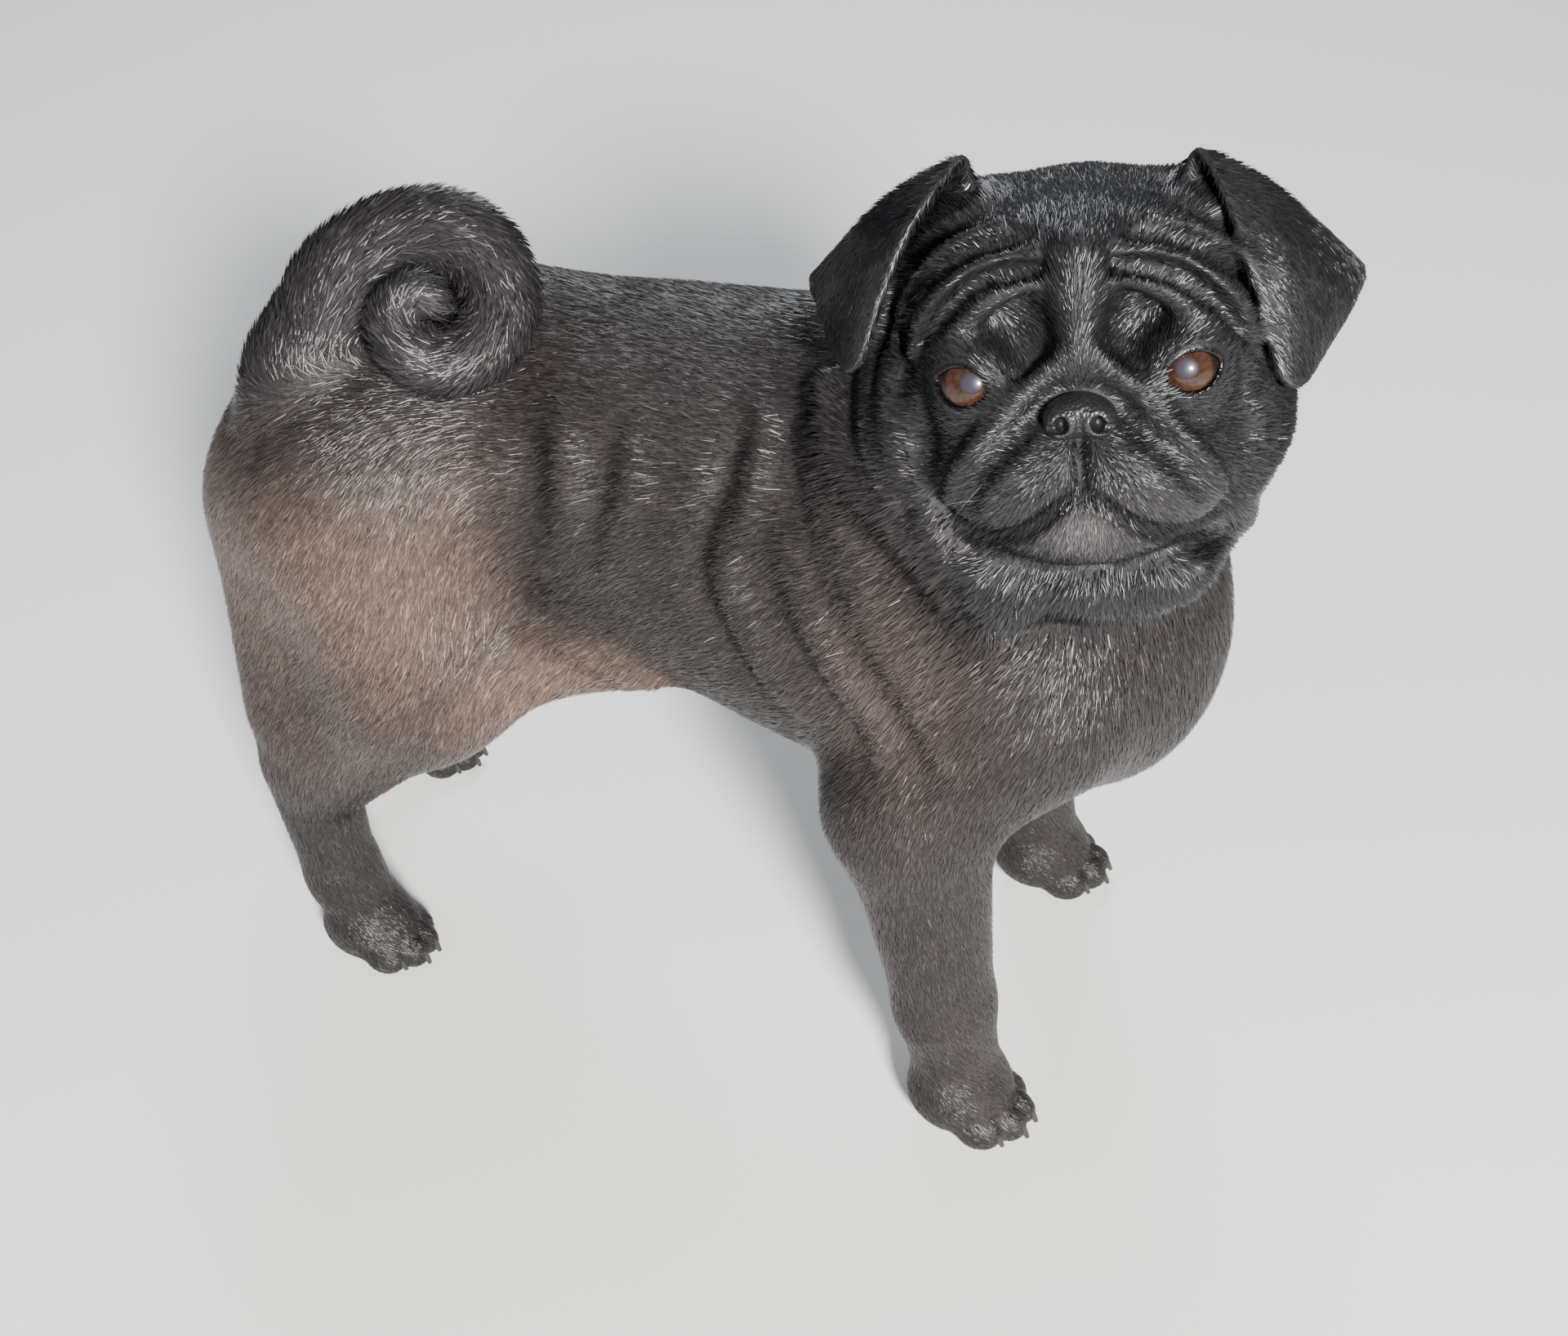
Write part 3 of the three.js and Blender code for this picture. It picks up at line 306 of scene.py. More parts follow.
def triangle(a, b, c, half):
    ba, cb, ac = b - a, c - b, a - c
    normal = np.cross(ba, ac)

    def edge(p, e):
        q = p - np.clip((p @ e) / (e @ e), 0, 1)[:, None] * e
        return (q * q).sum(1)

    def distance(p):
        pa, pb, pc = p - a, p - b, p - c
        beside = (np.sign(pa @ np.cross(ba, normal)) + np.sign(pb @ np.cross(cb, normal))
                  + np.sign(pc @ np.cross(ac, normal))) < 2
        rim = np.minimum(np.minimum(edge(pa, ba), edge(pb, cb)), edge(pc, ac))
        return np.sqrt(np.where(beside, rim, (pa @ normal) ** 2 / (normal @ normal))) - half
    corners = np.array((a, b, c))
    return distance, corners.min(0) - half, corners.max(0) + half


class Flesh:
    """A signed distance built up lump by lump, each joined or cut with its own blend."""
    REACH = 14

    def __init__(self):
        self.lumps = []

    def add(self, part, shape, blend=16, way=1):
        distance, low, high = shape
        margin = blend + self.REACH
        self.lumps.append((part, distance, low - margin, high + margin, blend, way))

    def at(self, p, count=None):
        d = np.full(len(p), 1e3)
        for _, distance, low, high, blend, way in self.lumps[:count]:
            near = np.nonzero(((p > low) & (p < high)).all(1))[0]
            if len(near):
                d[near] = (join if way > 0 else cut)(d[near], distance(p[near]), blend)
        return d

    def part(self, p, name):
        """Plain distance to the lumps of one part."""
        d = np.full(len(p), 60.0)
        for part, distance, low, high, _, way in self.lumps:
            if part != name or way < 0:
                continue
            near = np.nonzero(((p > low) & (p < high)).all(1))[0]
            if len(near):
                d[near] = np.minimum(d[near], distance(p[near]))
        return d

    def whole(self, axes):
        """The distance at every point of a grid."""
        d = np.full([len(a) for a in axes], 1e3, np.float32)
        for _, distance, start, end, blend, way in self.lumps:
            cells = [slice(np.searchsorted(a, s), np.searchsorted(a, e))
                     for a, s, e in zip(axes, start, end)]
            part = [a[c] for a, c in zip(axes, cells)]
            if min(map(len, part)) == 0:
                continue
            p = np.stack(np.meshgrid(*part, indexing="ij"), -1).reshape(-1, 3)
            own = distance(p).reshape([len(a) for a in part])
            d[tuple(cells)] = (join if way > 0 else cut)(d[tuple(cells)], own, blend)
        return d

    def grid(self, axes, depth, stride=3, band=8):
        """The distance on a fine grid, worked out in full only near the surface, less a depth."""
        coarse = [np.unique(np.append(a[::stride], a[-1])) for a in axes]
        d = self.whole(coarse)
        for k in range(3):
            place = np.interp(axes[k], coarse[k], np.arange(len(coarse[k])))
            before = np.minimum(place.astype(int), len(coarse[k]) - 2)
            share = (place - before).astype(np.float32)
            share = share.reshape([-1 if j == k else 1 for j in range(3)])
            d = np.take(d, before, k) * (1 - share) + np.take(d, before + 1, k) * share
        near = np.nonzero(np.abs(d) < band)
        p = np.stack([a[n] for a, n in zip(axes, near)], 1)
        for some in np.array_split(np.arange(len(p)), 12):
            d[near[0][some], near[1][some], near[2][some]] = self.at(p[some]) + depth(p[some])
        return d


def surface(axes, field):
    """Surface nets: one corner for each cell that the surface crosses, and quads between them."""
    inside = field < 0
    cells = np.array(field.shape) - 1
    total = {}
    places, corners = [], []
    for k in range(3):
        first = tuple(slice(0, -1) if j == k else slice(None) for j in range(3))
        second = tuple(slice(1, None) if j == k else slice(None) for j in range(3))
        a, b = field[first], field[second]
        crossed = inside[first] != inside[second]
        index = np.argwhere(crossed)
        share = a[crossed] / (a[crossed] - b[crossed])
        at = index.astype(float)
        at[:, k] += share
        i, j = [m for m in range(3) if m != k]
        for di in (0, -1):
            for dj in (0, -1):
                cell = index.copy()
                cell[:, i] += di
                cell[:, j] += dj
                fits = ((cell >= 0) & (cell < cells)).all(1)
                places.append(np.ravel_multi_index(cell[fits].T, cells))
                corners.append(at[fits])
        total[k] = (index, inside[first][crossed])
    places = np.concatenate(places)
    corners = np.concatenate(corners)
    used, inverse = np.unique(places, return_inverse=True)
    count = np.bincount(inverse)
    middle = [np.bincount(inverse, corners[:, k]) / count for k in range(3)]
    points = np.stack([np.interp(middle[k], np.arange(len(axes[k])), axes[k]) for k in range(3)], 1)
    number = np.full(np.prod(cells), -1)
    number[used] = np.arange(len(used))
    quads = []
    for k in range(3):
        index, starts_inside = total[k]
        i, j = [m for m in range(3) if m != k]
        fits = ((index[:, i] > 0) & (index[:, j] > 0) & (index[:, i] < field.shape[i] - 1)
                & (index[:, j] < field.shape[j] - 1))
        index, starts_inside = index[fits], starts_inside[fits]
        ring = []
        for di, dj in ((0, 0), (-1, 0), (-1, -1), (0, -1)):
            cell = index.copy()
            cell[:, i] += di
            cell[:, j] += dj
            ring.append(number[np.ravel_multi_index(cell.T, cells)])
        quad = np.stack(ring, 1)
        turned = ~starts_inside if k != 1 else starts_inside
        quad[turned] = quad[turned][:, ::-1]
        quads.append(quad)
    return points, np.concatenate(quads)


def corner_normals(points, quads):
    a, b, c, d = (points[quads[:, k]] for k in range(4))
    flat = np.cross(c - a, d - b)
    normals = np.zeros_like(points)
    for k in range(4):
        for axis in range(3):
            normals[:, axis] += np.bincount(quads[:, k], flat[:, axis], len(points))
    return unit(normals)


class Sampled:
    """A field kept on a grid, read between its points."""

    def __init__(self, axes, values):
        self.axes = axes
        self.values = values

    def at(self, p):
        q = np.stack([np.interp(p[:, k], a, np.arange(len(a))) for k, a in enumerate(self.axes)], 1)
        i = np.clip(q.astype(int), 0, np.array(self.values.shape) - 2)
        t = q - i
        total = np.zeros(len(p))
        for dx in (0, 1):
            for dy in (0, 1):
                for dz in (0, 1):
                    weight = (np.abs(1 - dx - t[:, 0]) * np.abs(1 - dy - t[:, 1])
                              * np.abs(1 - dz - t[:, 2]))
                    total += weight * self.values[i[:, 0] + dx, i[:, 1] + dy, i[:, 2] + dz]
        return total

    def slope(self, p, reach=1.5):
        steps = np.eye(3) * reach
        return unit(np.stack([self.at(p + s) - self.at(p - s) for s in steps], 1))

    def settle(self, p, height):
        """Moves points to a height above the surface."""
        return p - (self.at(p) - height)[:, None] * self.slope(p)


# The flesh, lump by lump
flesh = Flesh()
for centre, radii, blend in (CHEST, LOINS, RUMP, BREAST):
    flesh.add("torso", ellipsoid(centre, radii), blend)


def leg_piece(part, side, shift, piece, blend):
    (x0, y0, z0, r0, s0), (x1, y1, z1, r1, s1) = piece
    start = vec(x0 + shift * s0, side * y0, z0)
    end = vec(x1 + shift * s1, side * y1, z1)
    flesh.add(part, taper(start, end, r0, r1), blend)


PAW_BLEND = 9
TOE_BLEND = 2.5
TOE_SHAPE = vec(1.2, 0.82, 1)
toes = []


def paw(side, shift, size):
    out = math.radians(size["out"])
    heading = vec(math.cos(out), side * math.sin(out), 0)
    axes = np.array((heading, (-heading[1], heading[0], 0), (0, 0, 1)))
    centre = vec(size["x"] + shift, side * size["y"], size["high"] - SOLE)
    radii = vec(size["long"], size["wide"], size["high"])
    flesh.add("paw", ellipsoid(centre, radii, axes), PAW_BLEND)
    for forward, out in TOES:
        toe = centre + forward * axes[0] + out * size["wide"] * axes[1]
        toe[2] = TOE_RADIUS - SOLE
        flesh.add("paw", ellipsoid(toe, TOE_RADIUS * TOE_SHAPE, axes), TOE_BLEND)
        toes.append((toe, heading))


for side in SIDES:
    fore, hind = FORE_SHIFT[side], HIND_SHIFT[side]
    x, y, z = SHOULDER["at"]
    flesh.add("torso", ellipsoid(vec(x + fore, side * y, z), SHOULDER["radii"]), SHOULDER["blend"])
    for part, piece, blend in (("leg", ARM, 20), ("shin", FOREARM, 14), ("paw", WRIST, 8)):
        leg_piece(part, side, fore, piece, blend)
    paw(side, fore, FORE_PAW)
    for part, piece, blend in (("leg", THIGH, 26), ("leg", HAMSTRING, 26), ("leg", GASKIN, 20),
                               ("torso", FLANK_FOLD, 26), ("shin", SHANK, 10), ("paw", PASTERN, 8)):
        leg_piece(part, side, hind, piece, blend)
    paw(side, hind, HIND_PAW)


def flank(side, x, z, rise):
    """The flank's outside at x and z, looked for from the side inwards."""
    y = side * np.arange(140, 0, -0.5)
    inside = flesh.at(np.stack((np.full_like(y, x), y, np.full_like(y, z)), 1)) < 0
    return vec(x, y[np.argmax(inside)] + side * rise, z)


# All the folds are laid on the plain flank before the first one is joined to it
body_folds = []
for side in SIDES:
    for fold in BODY_FOLDS:
        path = [flank(side, x, z, fold["rise"]) for x, z in fold["path"]]
        body_folds.append((strand(path, fold["thick"]), fold["way"]))
for shape, way in body_folds:
    flesh.add("torso", shape, BODY_FOLD_BLEND, way)
flesh.add("neck", taper(NECK["start"], NECK["end"], *NECK["thick"]), NECK["blend"])
collar = strand([vec(*p) for p in COLLAR["path"]], COLLAR["thick"])
flesh.add("neck", collar, COLLAR["blend"])


def head_lump(lump, way=1):
    forward, out, up, radii, blend = lump
    for side in (SIDES if out else (1,)):
        flesh.add("head", ellipsoid(in_head(forward, side * out, up), radii, HEAD), blend, way)


for lump in SKULL + THROAT + (EAR_ROOT,):
    head_lump(lump)
for forward, left, up, radii, blend in LOBES:
    flesh.add("head", ellipsoid(in_head(forward, left, up), radii, HEAD), blend)
BARE = len(flesh.lumps)


def face(left, up, rise=0.0):
    """The bare face's surface out and up from its middle, looked for from the front inwards."""
    forward = np.arange(100, -20, -0.5)
    ray = np.stack((forward, np.full_like(forward, left), np.full_like(forward, up)), 1)
    ray = HEAD_AT + ray @ HEAD
    inside = flesh.at(ray, BARE) < 0
    return in_head((forward[np.argmax(inside)] if inside.any() else 0) + rise, left, up)


head_lump(BROW_HOLLOW, -1)
head_lump(CHEEK_HOLLOW, -1)
mouth = []
for fold in FOLDS:
    for side in fold.get("sides", SIDES):
        path = [face(side * out, up, fold["rise"]) for out, up in fold["path"]]
        flesh.add("head", strand(path, fold["thick"]), fold["blend"], fold.get("way", 1))
        if MOUTH_MIDDLE in fold["path"]:
            mouth.append(strand(path, fold["thick"])[0])


# Lids: a thin bulge over each ball, opened by two arcs that meet at the corners
def eye_at(side):
    return in_head(EYE["forward"], side * EYE["out"][side], EYE["up"][side])


def eye_axes(side):
    """Outward through the opening, along it towards the ear, and up across it."""
    out = vec(math.cos(LID["turn"]), side * math.sin(LID["turn"]), 0.06)
    along = vec(-math.sin(LID["turn"]), side * math.cos(LID["turn"]), 0)
    along = math.cos(LID["tilt"]) * along + math.sin(LID["tilt"]) * vec(0, 0, 1)
    out = unit(out - (out @ along) * along)
    up = np.cross(out, along) * side
    return np.array((out, along, up)) @ HEAD


def opening(side):
    """Distance to the almond between the lids, seen along the way the eye looks."""
    centre, axes = eye_at(side), eye_axes(side)
    wide = LID["wide"]
    arcs = []
    for way, high in ((1, LID["high"]), (-1, LID["low"])):
        radius = (wide ** 2 + high ** 2) / (2 * high)
        arcs.append((way * (high - radius), radius))

    def distance(p):
        q = (p - centre) @ axes.T
        flat = np.max([np.hypot(q[:, 1], q[:, 2] - middle) - radius for middle, radius in arcs], 0)
        return np.maximum(flat, LID["behind"] - q[:, 0])
    reach = EYE["radius"] + 8
    return distance, centre - reach, centre + reach


for side in SIDES:
    bulge = np.full(3, EYE["radius"] + LID["thick"])
    flesh.add("head", ellipsoid(eye_at(side), bulge), LID["blend"])
    flesh.add("head", opening(side), LID["edge"], -1)


# Ears as bent sheets
def ear_net(side, rows=11, columns=8):
    net = np.array(EARS[side], float)
    net[:, :, 1] *= side
    across = np.array([smooth_path(row, columns) for row in net])
    along = np.array([smooth_path(across[:, k], rows) for k in range(columns)]).transpose(1, 0, 2)
    return HEAD_AT + along @ HEAD


def sheet(net, thick):
    half = np.interp(np.linspace(0, 1, len(net)), np.linspace(0, 1, len(thick)), thick) / 2
    pieces = []
    for i in range(len(net) - 1):
        for j in range(net.shape[1] - 1):
            a, b, c, d = net[i, j], net[i, j + 1], net[i + 1, j], net[i + 1, j + 1]
            pieces.append(triangle(a, b, c, half[i]))
            pieces.append(triangle(d, c, b, half[i + 1]))

    def distance(p):
        d = np.full(len(p), 1e3)
        for piece, low, high in pieces:
            near = np.nonzero(((p > low - 8) & (p < high + 8)).all(1))[0]
            if len(near):
                d[near] = np.minimum(d[near], piece(p[near]))
        return d
    return distance, np.min([q[1] for q in pieces], 0), np.max([q[2] for q in pieces], 0)


EAR_BLEND = 5
for side in SIDES:
    flesh.add("ear", sheet(ear_net(side), EAR_THICK), EAR_BLEND)


# Tail along its curl
def tail_path(count):
    forward = unit(vec(1, 0, 0) - CURL_AXIS * CURL_AXIS[0])
    up = np.cross(CURL_AXIS, forward)
    up = up if up[2] > 0 else -up
    steps = smooth_path(TAIL, count)
    return CURL_AT + steps[:, :3] @ np.array((forward, up, CURL_AXIS)), steps[:, 3]


# The tail's root is blended softly into the croup, and its coil keeps its turns apart
TAIL_ROOT = 9
TAIL_ROOT_BLEND, TAIL_BLEND = 12, 2.5
TAIL_LINE, TAIL_THICK = tail_path(64)
for i in range(len(TAIL_LINE) - 1):
    flesh.add("tail", taper(TAIL_LINE[i], TAIL_LINE[i + 1], TAIL_THICK[i], TAIL_THICK[i + 1]),
              TAIL_ROOT_BLEND if i < TAIL_ROOT else TAIL_BLEND)


# Depth of the coat at a place: how far the skin lies under the coat's outside
BODY_DEPTH, HEAD_DEPTH, EYE_DEPTH, EAR_DEPTH = 1.7, 0.7, 0.2, 0.4
LEG_LESS, FOOT_LESS, TAIL_MORE = 0.8, 0.35, 0.8


def coat_depth(p):
    depth = BODY_DEPTH - LEG_LESS * smoothstep(-p[:, 2], -120, -60)
    depth = depth - FOOT_LESS * smoothstep(-p[:, 2], -36, -20)

    def near(centre, outer, inner):
        return smoothstep(-np.linalg.norm(p - centre, axis=1), -outer, -inner)

    depth = depth - (depth - HEAD_DEPTH) * near(in_head(12, 0, 0), 92, 66)
    for side in SIDES:
        depth = depth - (depth - EYE_DEPTH) * near(eye_at(side), 22, 15)
        ear = HEAD_AT + np.array(EARS[side], float)[1:].mean((0, 1)) * (1, side, 1) @ HEAD
        depth = depth - (depth - EAR_DEPTH) * near(ear, 44, 30)
    return depth + TAIL_MORE * near(CURL_AT, 62, 48)


def spaced(*stretches):
    """Places along an axis, in stretches of start, end and step."""
    return np.unique(np.concatenate([np.linspace(start, end, round((end - start) / step * FINE) + 1)
                                     for start, end, step in stretches]))


# The skin ends a little above the floor.
FINE = 1
SKIN_LIFT = 0.15
axes = (spaced((-252, 84, 1.8), (84, 222, 1.1)),
        spaced((-118, 58, 1.15), (58, 112, 1.8)),
        spaced((-6, 36, 1.4), (36, 226, 1.8), (226, 392, 1.1)))
values = flesh.grid(axes, coat_depth)
values = np.maximum(values, SKIN_LIFT - axes[2]).astype(np.float32)
points, quads = surface(axes, values)
skin_field = Sampled(axes, values)
normals = corner_normals(points, quads)


# Only the outer surface is kept, the largest of what the field gives
def largest(points, quads):
    label = np.arange(len(points))
    while True:
        lowest = label[quads].min(1)
        fresh = label.copy()
        for k in range(4):
            np.minimum.at(fresh, quads[:, k], lowest)
        fresh = fresh[fresh]
        if (fresh == label).all():
            break
        label = fresh
    main = np.bincount(label).argmax()
    keep = label == main
    number = np.cumsum(keep) - 1
    return keep, number[quads[keep[quads[:, 0]]]]


keep, quads = largest(points, quads)
points, normals = points[keep], normals[keep]

# How near each corner is to each part of the body, as shares that add up to 1
PARTS = ("torso", "neck", "head", "ear", "tail", "leg", "shin", "paw")
TORSO_PART, NECK_PART, HEAD_PART, EAR_PART, TAIL_PART = range(5)
PART_BLEND = 7
nearness = np.stack([flesh.part(points, part) for part in PARTS], 1)
nearness = np.exp(-(nearness - nearness.min(1, keepdims=True)) / PART_BLEND)
nearness /= nearness.sum(1, keepdims=True)


# Smooth noise from a few waves
def waves(p, scale, seed, count=6):
    source = np.random.default_rng(seed)
    total = np.zeros(len(p))
    for _ in range(count):
        way = unit(source.normal(size=3))
        total += np.sin(p @ way / scale * source.uniform(0.7, 1.5) + source.uniform(0, 6.28))
    return total / count


# Markings: black, with a brown cast low on the flank, haunch and legs, and grey on the muzzle.
# The brown is partly the coat's own tint and partly painted sunlit sheen. The brow hollows and
# the creases round the mouth are darkened with painted shade.
BLACK = vec(0.008, 0.008, 0.0092)
BROWN_AND_SHEEN = vec(0.086, 0.057, 0.045)
GREY = vec(0.055, 0.047, 0.05)
BUTTOCK = vec(-196, -50, 176)


def spot(out, up, at, spread):
    """1 at a place seen in two directions, fading round it."""
    return np.exp(-((out - at[0]) ** 2 / spread[0] + (up - at[1]) ** 2 / spread[1]))


def markings(p, n, share):
    # More brown on sides that face sideways and on the belly: painted sunlit sheen over the coat's
    # own brown tint
    side_on = 1 - smoothstep(n[:, 2], 0.35, 0.9)
    haunch = smoothstep(-p[:, 0], 44, 100) * smoothstep(-p[:, 2], -285, -215)
    haunch *= 1 - 0.7 * smoothstep(-p[:, 2], -215, -145)
    belly = smoothstep(-p[:, 2], -210, -165) * smoothstep(-p[:, 0], -20, 40)
    belly *= 1 - smoothstep(-p[:, 0], 55, 115)
    shoulder = spot(p[:, 0], p[:, 2], (88, 205), (900, 1600))
    low = smoothstep(p[:, 2], 90, 135)
    brown_and_sheen = np.maximum.reduce((haunch, 1.1 * belly, 0.3 * shoulder)) * (0.35 + 0.65 * side_on) * low
    brown_and_sheen = brown_and_sheen + 0.09
    brown_and_sheen *= 1 - share[:, HEAD_PART] - share[:, EAR_PART] - 0.7 * share[:, TAIL_PART]
    brown_and_sheen *= 0.85 + 0.4 * waves(p, 24, 3)
    local = (p - HEAD_AT) @ HEAD.T
    out, up = np.abs(local[:, 1]), local[:, 2]
    chin = spot(out, up, (0, -38), (150, 55)) * (0.8 + 0.35 * waves(p, 1.4, 9))
    lip = 0.12 * spot(out, up, (15, -22), (220, 110)) * smoothstep(waves(p, 1.5, 8), -0.1, 0.3)
    grey = (0.9 * chin + lip) * share[:, HEAD_PART] + 0.1 * share[:, TAIL_PART]
    grey = grey + 0.06 * smoothstep(waves(p, 12, 5), 0.1, 0.6)
    grey += 0.8 * np.exp(-((p - BUTTOCK) ** 2).sum(1) / 120)
    brown_and_sheen = np.clip(brown_and_sheen, 0, 1)[:, None]
    colour = BLACK * (1 - brown_and_sheen) + BROWN_AND_SHEEN * brown_and_sheen
    colour = colour + (GREY - colour) * np.clip(grey, 0, 1)[:, None]
    # Painted shade: darker in the brow hollows, which also hold darker fur
    brow_shade = 0.5 * spot(out, up, (19, 19), (120, 140)) * share[:, HEAD_PART]
    # Painted shade: darker along the creases of the mouth and the groove under the nose
    mouth_crease_shade = 0.9 * (1 - smoothstep(np.min([groove(p) for groove in mouth], 0), 0.6, 2.2))
    return colour * (1 - np.maximum(brow_shade, mouth_crease_shade))[:, None]


# Lie of the coat at a place
def lie(p, n, share):
    local = (p - HEAD_AT) @ HEAD.T
    zero = np.zeros(len(p))
    front = smoothstep(p[:, 0], 120, 165)
    under = smoothstep(-n[:, 2], 0.2, 0.8)
    down = smoothstep(1 - n[:, 2], 0.1, 1.0)
    torso = (-1 + 0.9 * front, zero, -0.75 * down - 0.6 * front + 0.6 * under)
    neck = (-0.8 + zero, 0.25 + zero, -0.7 - 0.2 * front)
    radial = np.stack((-0.9 + zero, local[:, 1], local[:, 2] + 6), 1)
    radial[:, 1:] = unit(radial[:, 1:]) * 1.1
    ear = np.stack((0.25 + zero, 0.35 * np.sign(local[:, 1]), -1 + zero), 1) @ HEAD
    nearest = np.argmin(((p[:, None, :] - TAIL_LINE[None, ::2]) ** 2).sum(2), 1) * 2
    tail = unit(np.gradient(TAIL_LINE, axis=0))[nearest]
    leg, shin, toe = ((ahead + zero, zero, drop + zero)
                      for ahead, drop in ((-0.45, -1), (0.12, -1), (1, -0.7)))
    torso, neck, leg, shin, toe = (np.stack(way, 1) for way in (torso, neck, leg, shin, toe))
    flow = np.zeros((len(p), 3))
    for k, way in enumerate((torso, neck, radial @ HEAD, ear, tail, leg, shin, toe)):
        flow += share[:, k:k + 1] * unit(way)
    flow = unit(flow - (flow * n).sum(1, keepdims=True) * n)
    return turned(flow, n, 0.22 * waves(p, 22, 11) + 0.1 * waves(p, 7, 12))


def turned(way, n, angle):
    """Ways along the skin, turned round its normals."""
    return unit(way * np.cos(angle)[:, None] + np.cross(n, way) * np.sin(angle)[:, None])


# Pieces in Blender
def to_model(p):
    return (p + SHIFT) / 1000


def make_piece(name, p, faces, material, colours=None, wet=None, normals=None, uv=None,
               replaces=()):
    """A mesh from points in millimetres, riding the root, with its markings as a colour layer."""
    mesh = bpy.data.meshes.new(name)
    sizes = np.full(len(faces), faces.shape[1])
    mesh.vertices.add(len(p))
    mesh.vertices.foreach_set("co", to_model(p).astype(np.float32).ravel())
    mesh.loops.add(faces.size)
    mesh.loops.foreach_set("vertex_index", faces.astype(np.int32).ravel())
    mesh.polygons.add(len(faces))
    mesh.polygons.foreach_set("loop_start", (np.cumsum(sizes) - sizes).astype(np.int32))
    mesh.update(calc_edges=True)
    mesh.shade_smooth()
    if colours is not None:
        dry = np.ones(len(p)) if wet is None else 1 - wet
        layer = mesh.color_attributes.new("Marking", "FLOAT_COLOR", "POINT")
        layer.data.foreach_set("color", np.column_stack((colours, dry)).astype(np.float32).ravel())
    if normals is not None:
        mesh.normals_split_custom_set_from_vertices(normals.astype(np.float32))
    if uv is not None:
        layer = mesh.uv_layers.new(name="OFBake")
        layer.uv.foreach_set("vector", uv.astype(np.float32).ravel())
    mesh.materials.append(material)
    piece = bpy.data.objects.new(name, mesh)
    bpy.context.scene.collection.objects.link(piece)
    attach(piece, "root")
    if replaces:
        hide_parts(*replaces)


class Shader:
    """A short way to write a node material."""

    def __init__(self, name):
        self.material = bpy.data.materials.new(name)
        self.material.use_nodes = True
        self.tree = self.material.node_tree
        self.surface = self.tree.nodes["Principled BSDF"]

    def node(self, kind, **settings):
        node = self.tree.nodes.new(kind)
        for key, value in settings.items():
            if hasattr(node, key):
                setattr(node, key, value)
            else:
                node.inputs[key.replace("_", " ")].default_value = value
        return node

    def link(self, start, end):
        self.tree.links.new(start, end)

    def set(self, **values):
        for key, value in values.items():
            self.surface.inputs[key.replace("_", " ")].default_value = value

    def colour(self, socket):
        self.link(socket, self.surface.inputs["Base Color"])

    def bump(self, height, strength, distance):
        bump = self.node("ShaderNodeBump", Strength=strength, Distance=distance)
        self.link(height, bump.inputs["Height"])
        self.link(bump.outputs["Normal"], self.surface.inputs["Normal"])


def marked(shader, dark, light, scale):
    """Base colour from the markings, lightened and darkened hair by hair."""
    mark = shader.node("ShaderNodeAttribute", attribute_name="Marking")
    where = shader.node("ShaderNodeTexCoord")
    noise = shader.node("ShaderNodeTexNoise", Scale=scale, Detail=3.0)
    shader.link(where.outputs["Object"], noise.inputs["Vector"])
    spread = shader.node("ShaderNodeMapRange")
    sockets = (("From Min", 0.3), ("From Max", 0.7), ("To Min", dark), ("To Max", light))
    for socket, value in sockets:
        spread.inputs[socket].default_value = value
    shader.link(noise.outputs["Fac"], spread.inputs["Value"])
    scaled = shader.node("ShaderNodeVectorMath", operation="SCALE")
    shader.link(mark.outputs["Color"], scaled.inputs[0])
    shader.link(spread.outputs["Result"], scaled.inputs["Scale"])
    shader.colour(scaled.outputs["Vector"])
    return noise


def skin_material():
    """Dull skin, wet and smooth where the markings' alpha says so."""
    shader = Shader("pug_skin")
    shader.set(Roughness=0.62, Specular_IOR_Level=0.25)
    noise = marked(shader, 0.55, 0.95, 900)
    mark = shader.node("ShaderNodeAttribute", attribute_name="Marking")
    rough = shader.node("ShaderNodeMapRange")
    rough.inputs["To Min"].default_value = 0.22
    rough.inputs["To Max"].default_value = 0.62
    shader.link(mark.outputs["Alpha"], rough.inputs["Value"])
    shader.link(rough.outputs["Result"], shader.surface.inputs["Roughness"])
    shader.bump(noise.outputs["Fac"], 0.5, 0.0006)
    return shader.material


def coat_material():
    shader = Shader("pug_coat")
    shader.set(Roughness=0.33, Specular_IOR_Level=0.3)
    marked(shader, 0.75, 1.3, 500)
    return shader.material


def eye_material():
    shader = Shader("pug_eye")
    shader.set(Roughness=0.3, Specular_IOR_Level=0.1, Coat_Weight=1.0, Coat_Roughness=0.02,
               Coat_IOR=1.25)
    shader.colour(shader.node("ShaderNodeAttribute", attribute_name="Marking").outputs["Color"])
    return shader.material


def grained(shader, grain, out, dark, light, strength, distance):
    """Colour and bumps from the grain of a texture, for horn and leather."""
    where = shader.node("ShaderNodeTexCoord")
    shader.link(where.outputs["Object"], grain.inputs["Vector"])
    ramp = shader.node("ShaderNodeValToRGB")
    ramp.color_ramp.elements[0].color = dark
    ramp.color_ramp.elements[1].color = light
    shader.link(grain.outputs[out], ramp.inputs["Fac"])
    shader.colour(ramp.outputs["Color"])
    shader.bump(grain.outputs[out], strength, distance)
    return shader.material


def nose_material():
    shader = Shader("pug_nose")
    shader.set(Roughness=0.38, Specular_IOR_Level=0.42)
    pebbles = shader.node("ShaderNodeTexVoronoi", Scale=900.0)
    return grained(shader, pebbles, "Distance", (0.004, 0.004, 0.005, 1), (0.011, 0.011, 0.013, 1),
                   0.7, 0.0004)


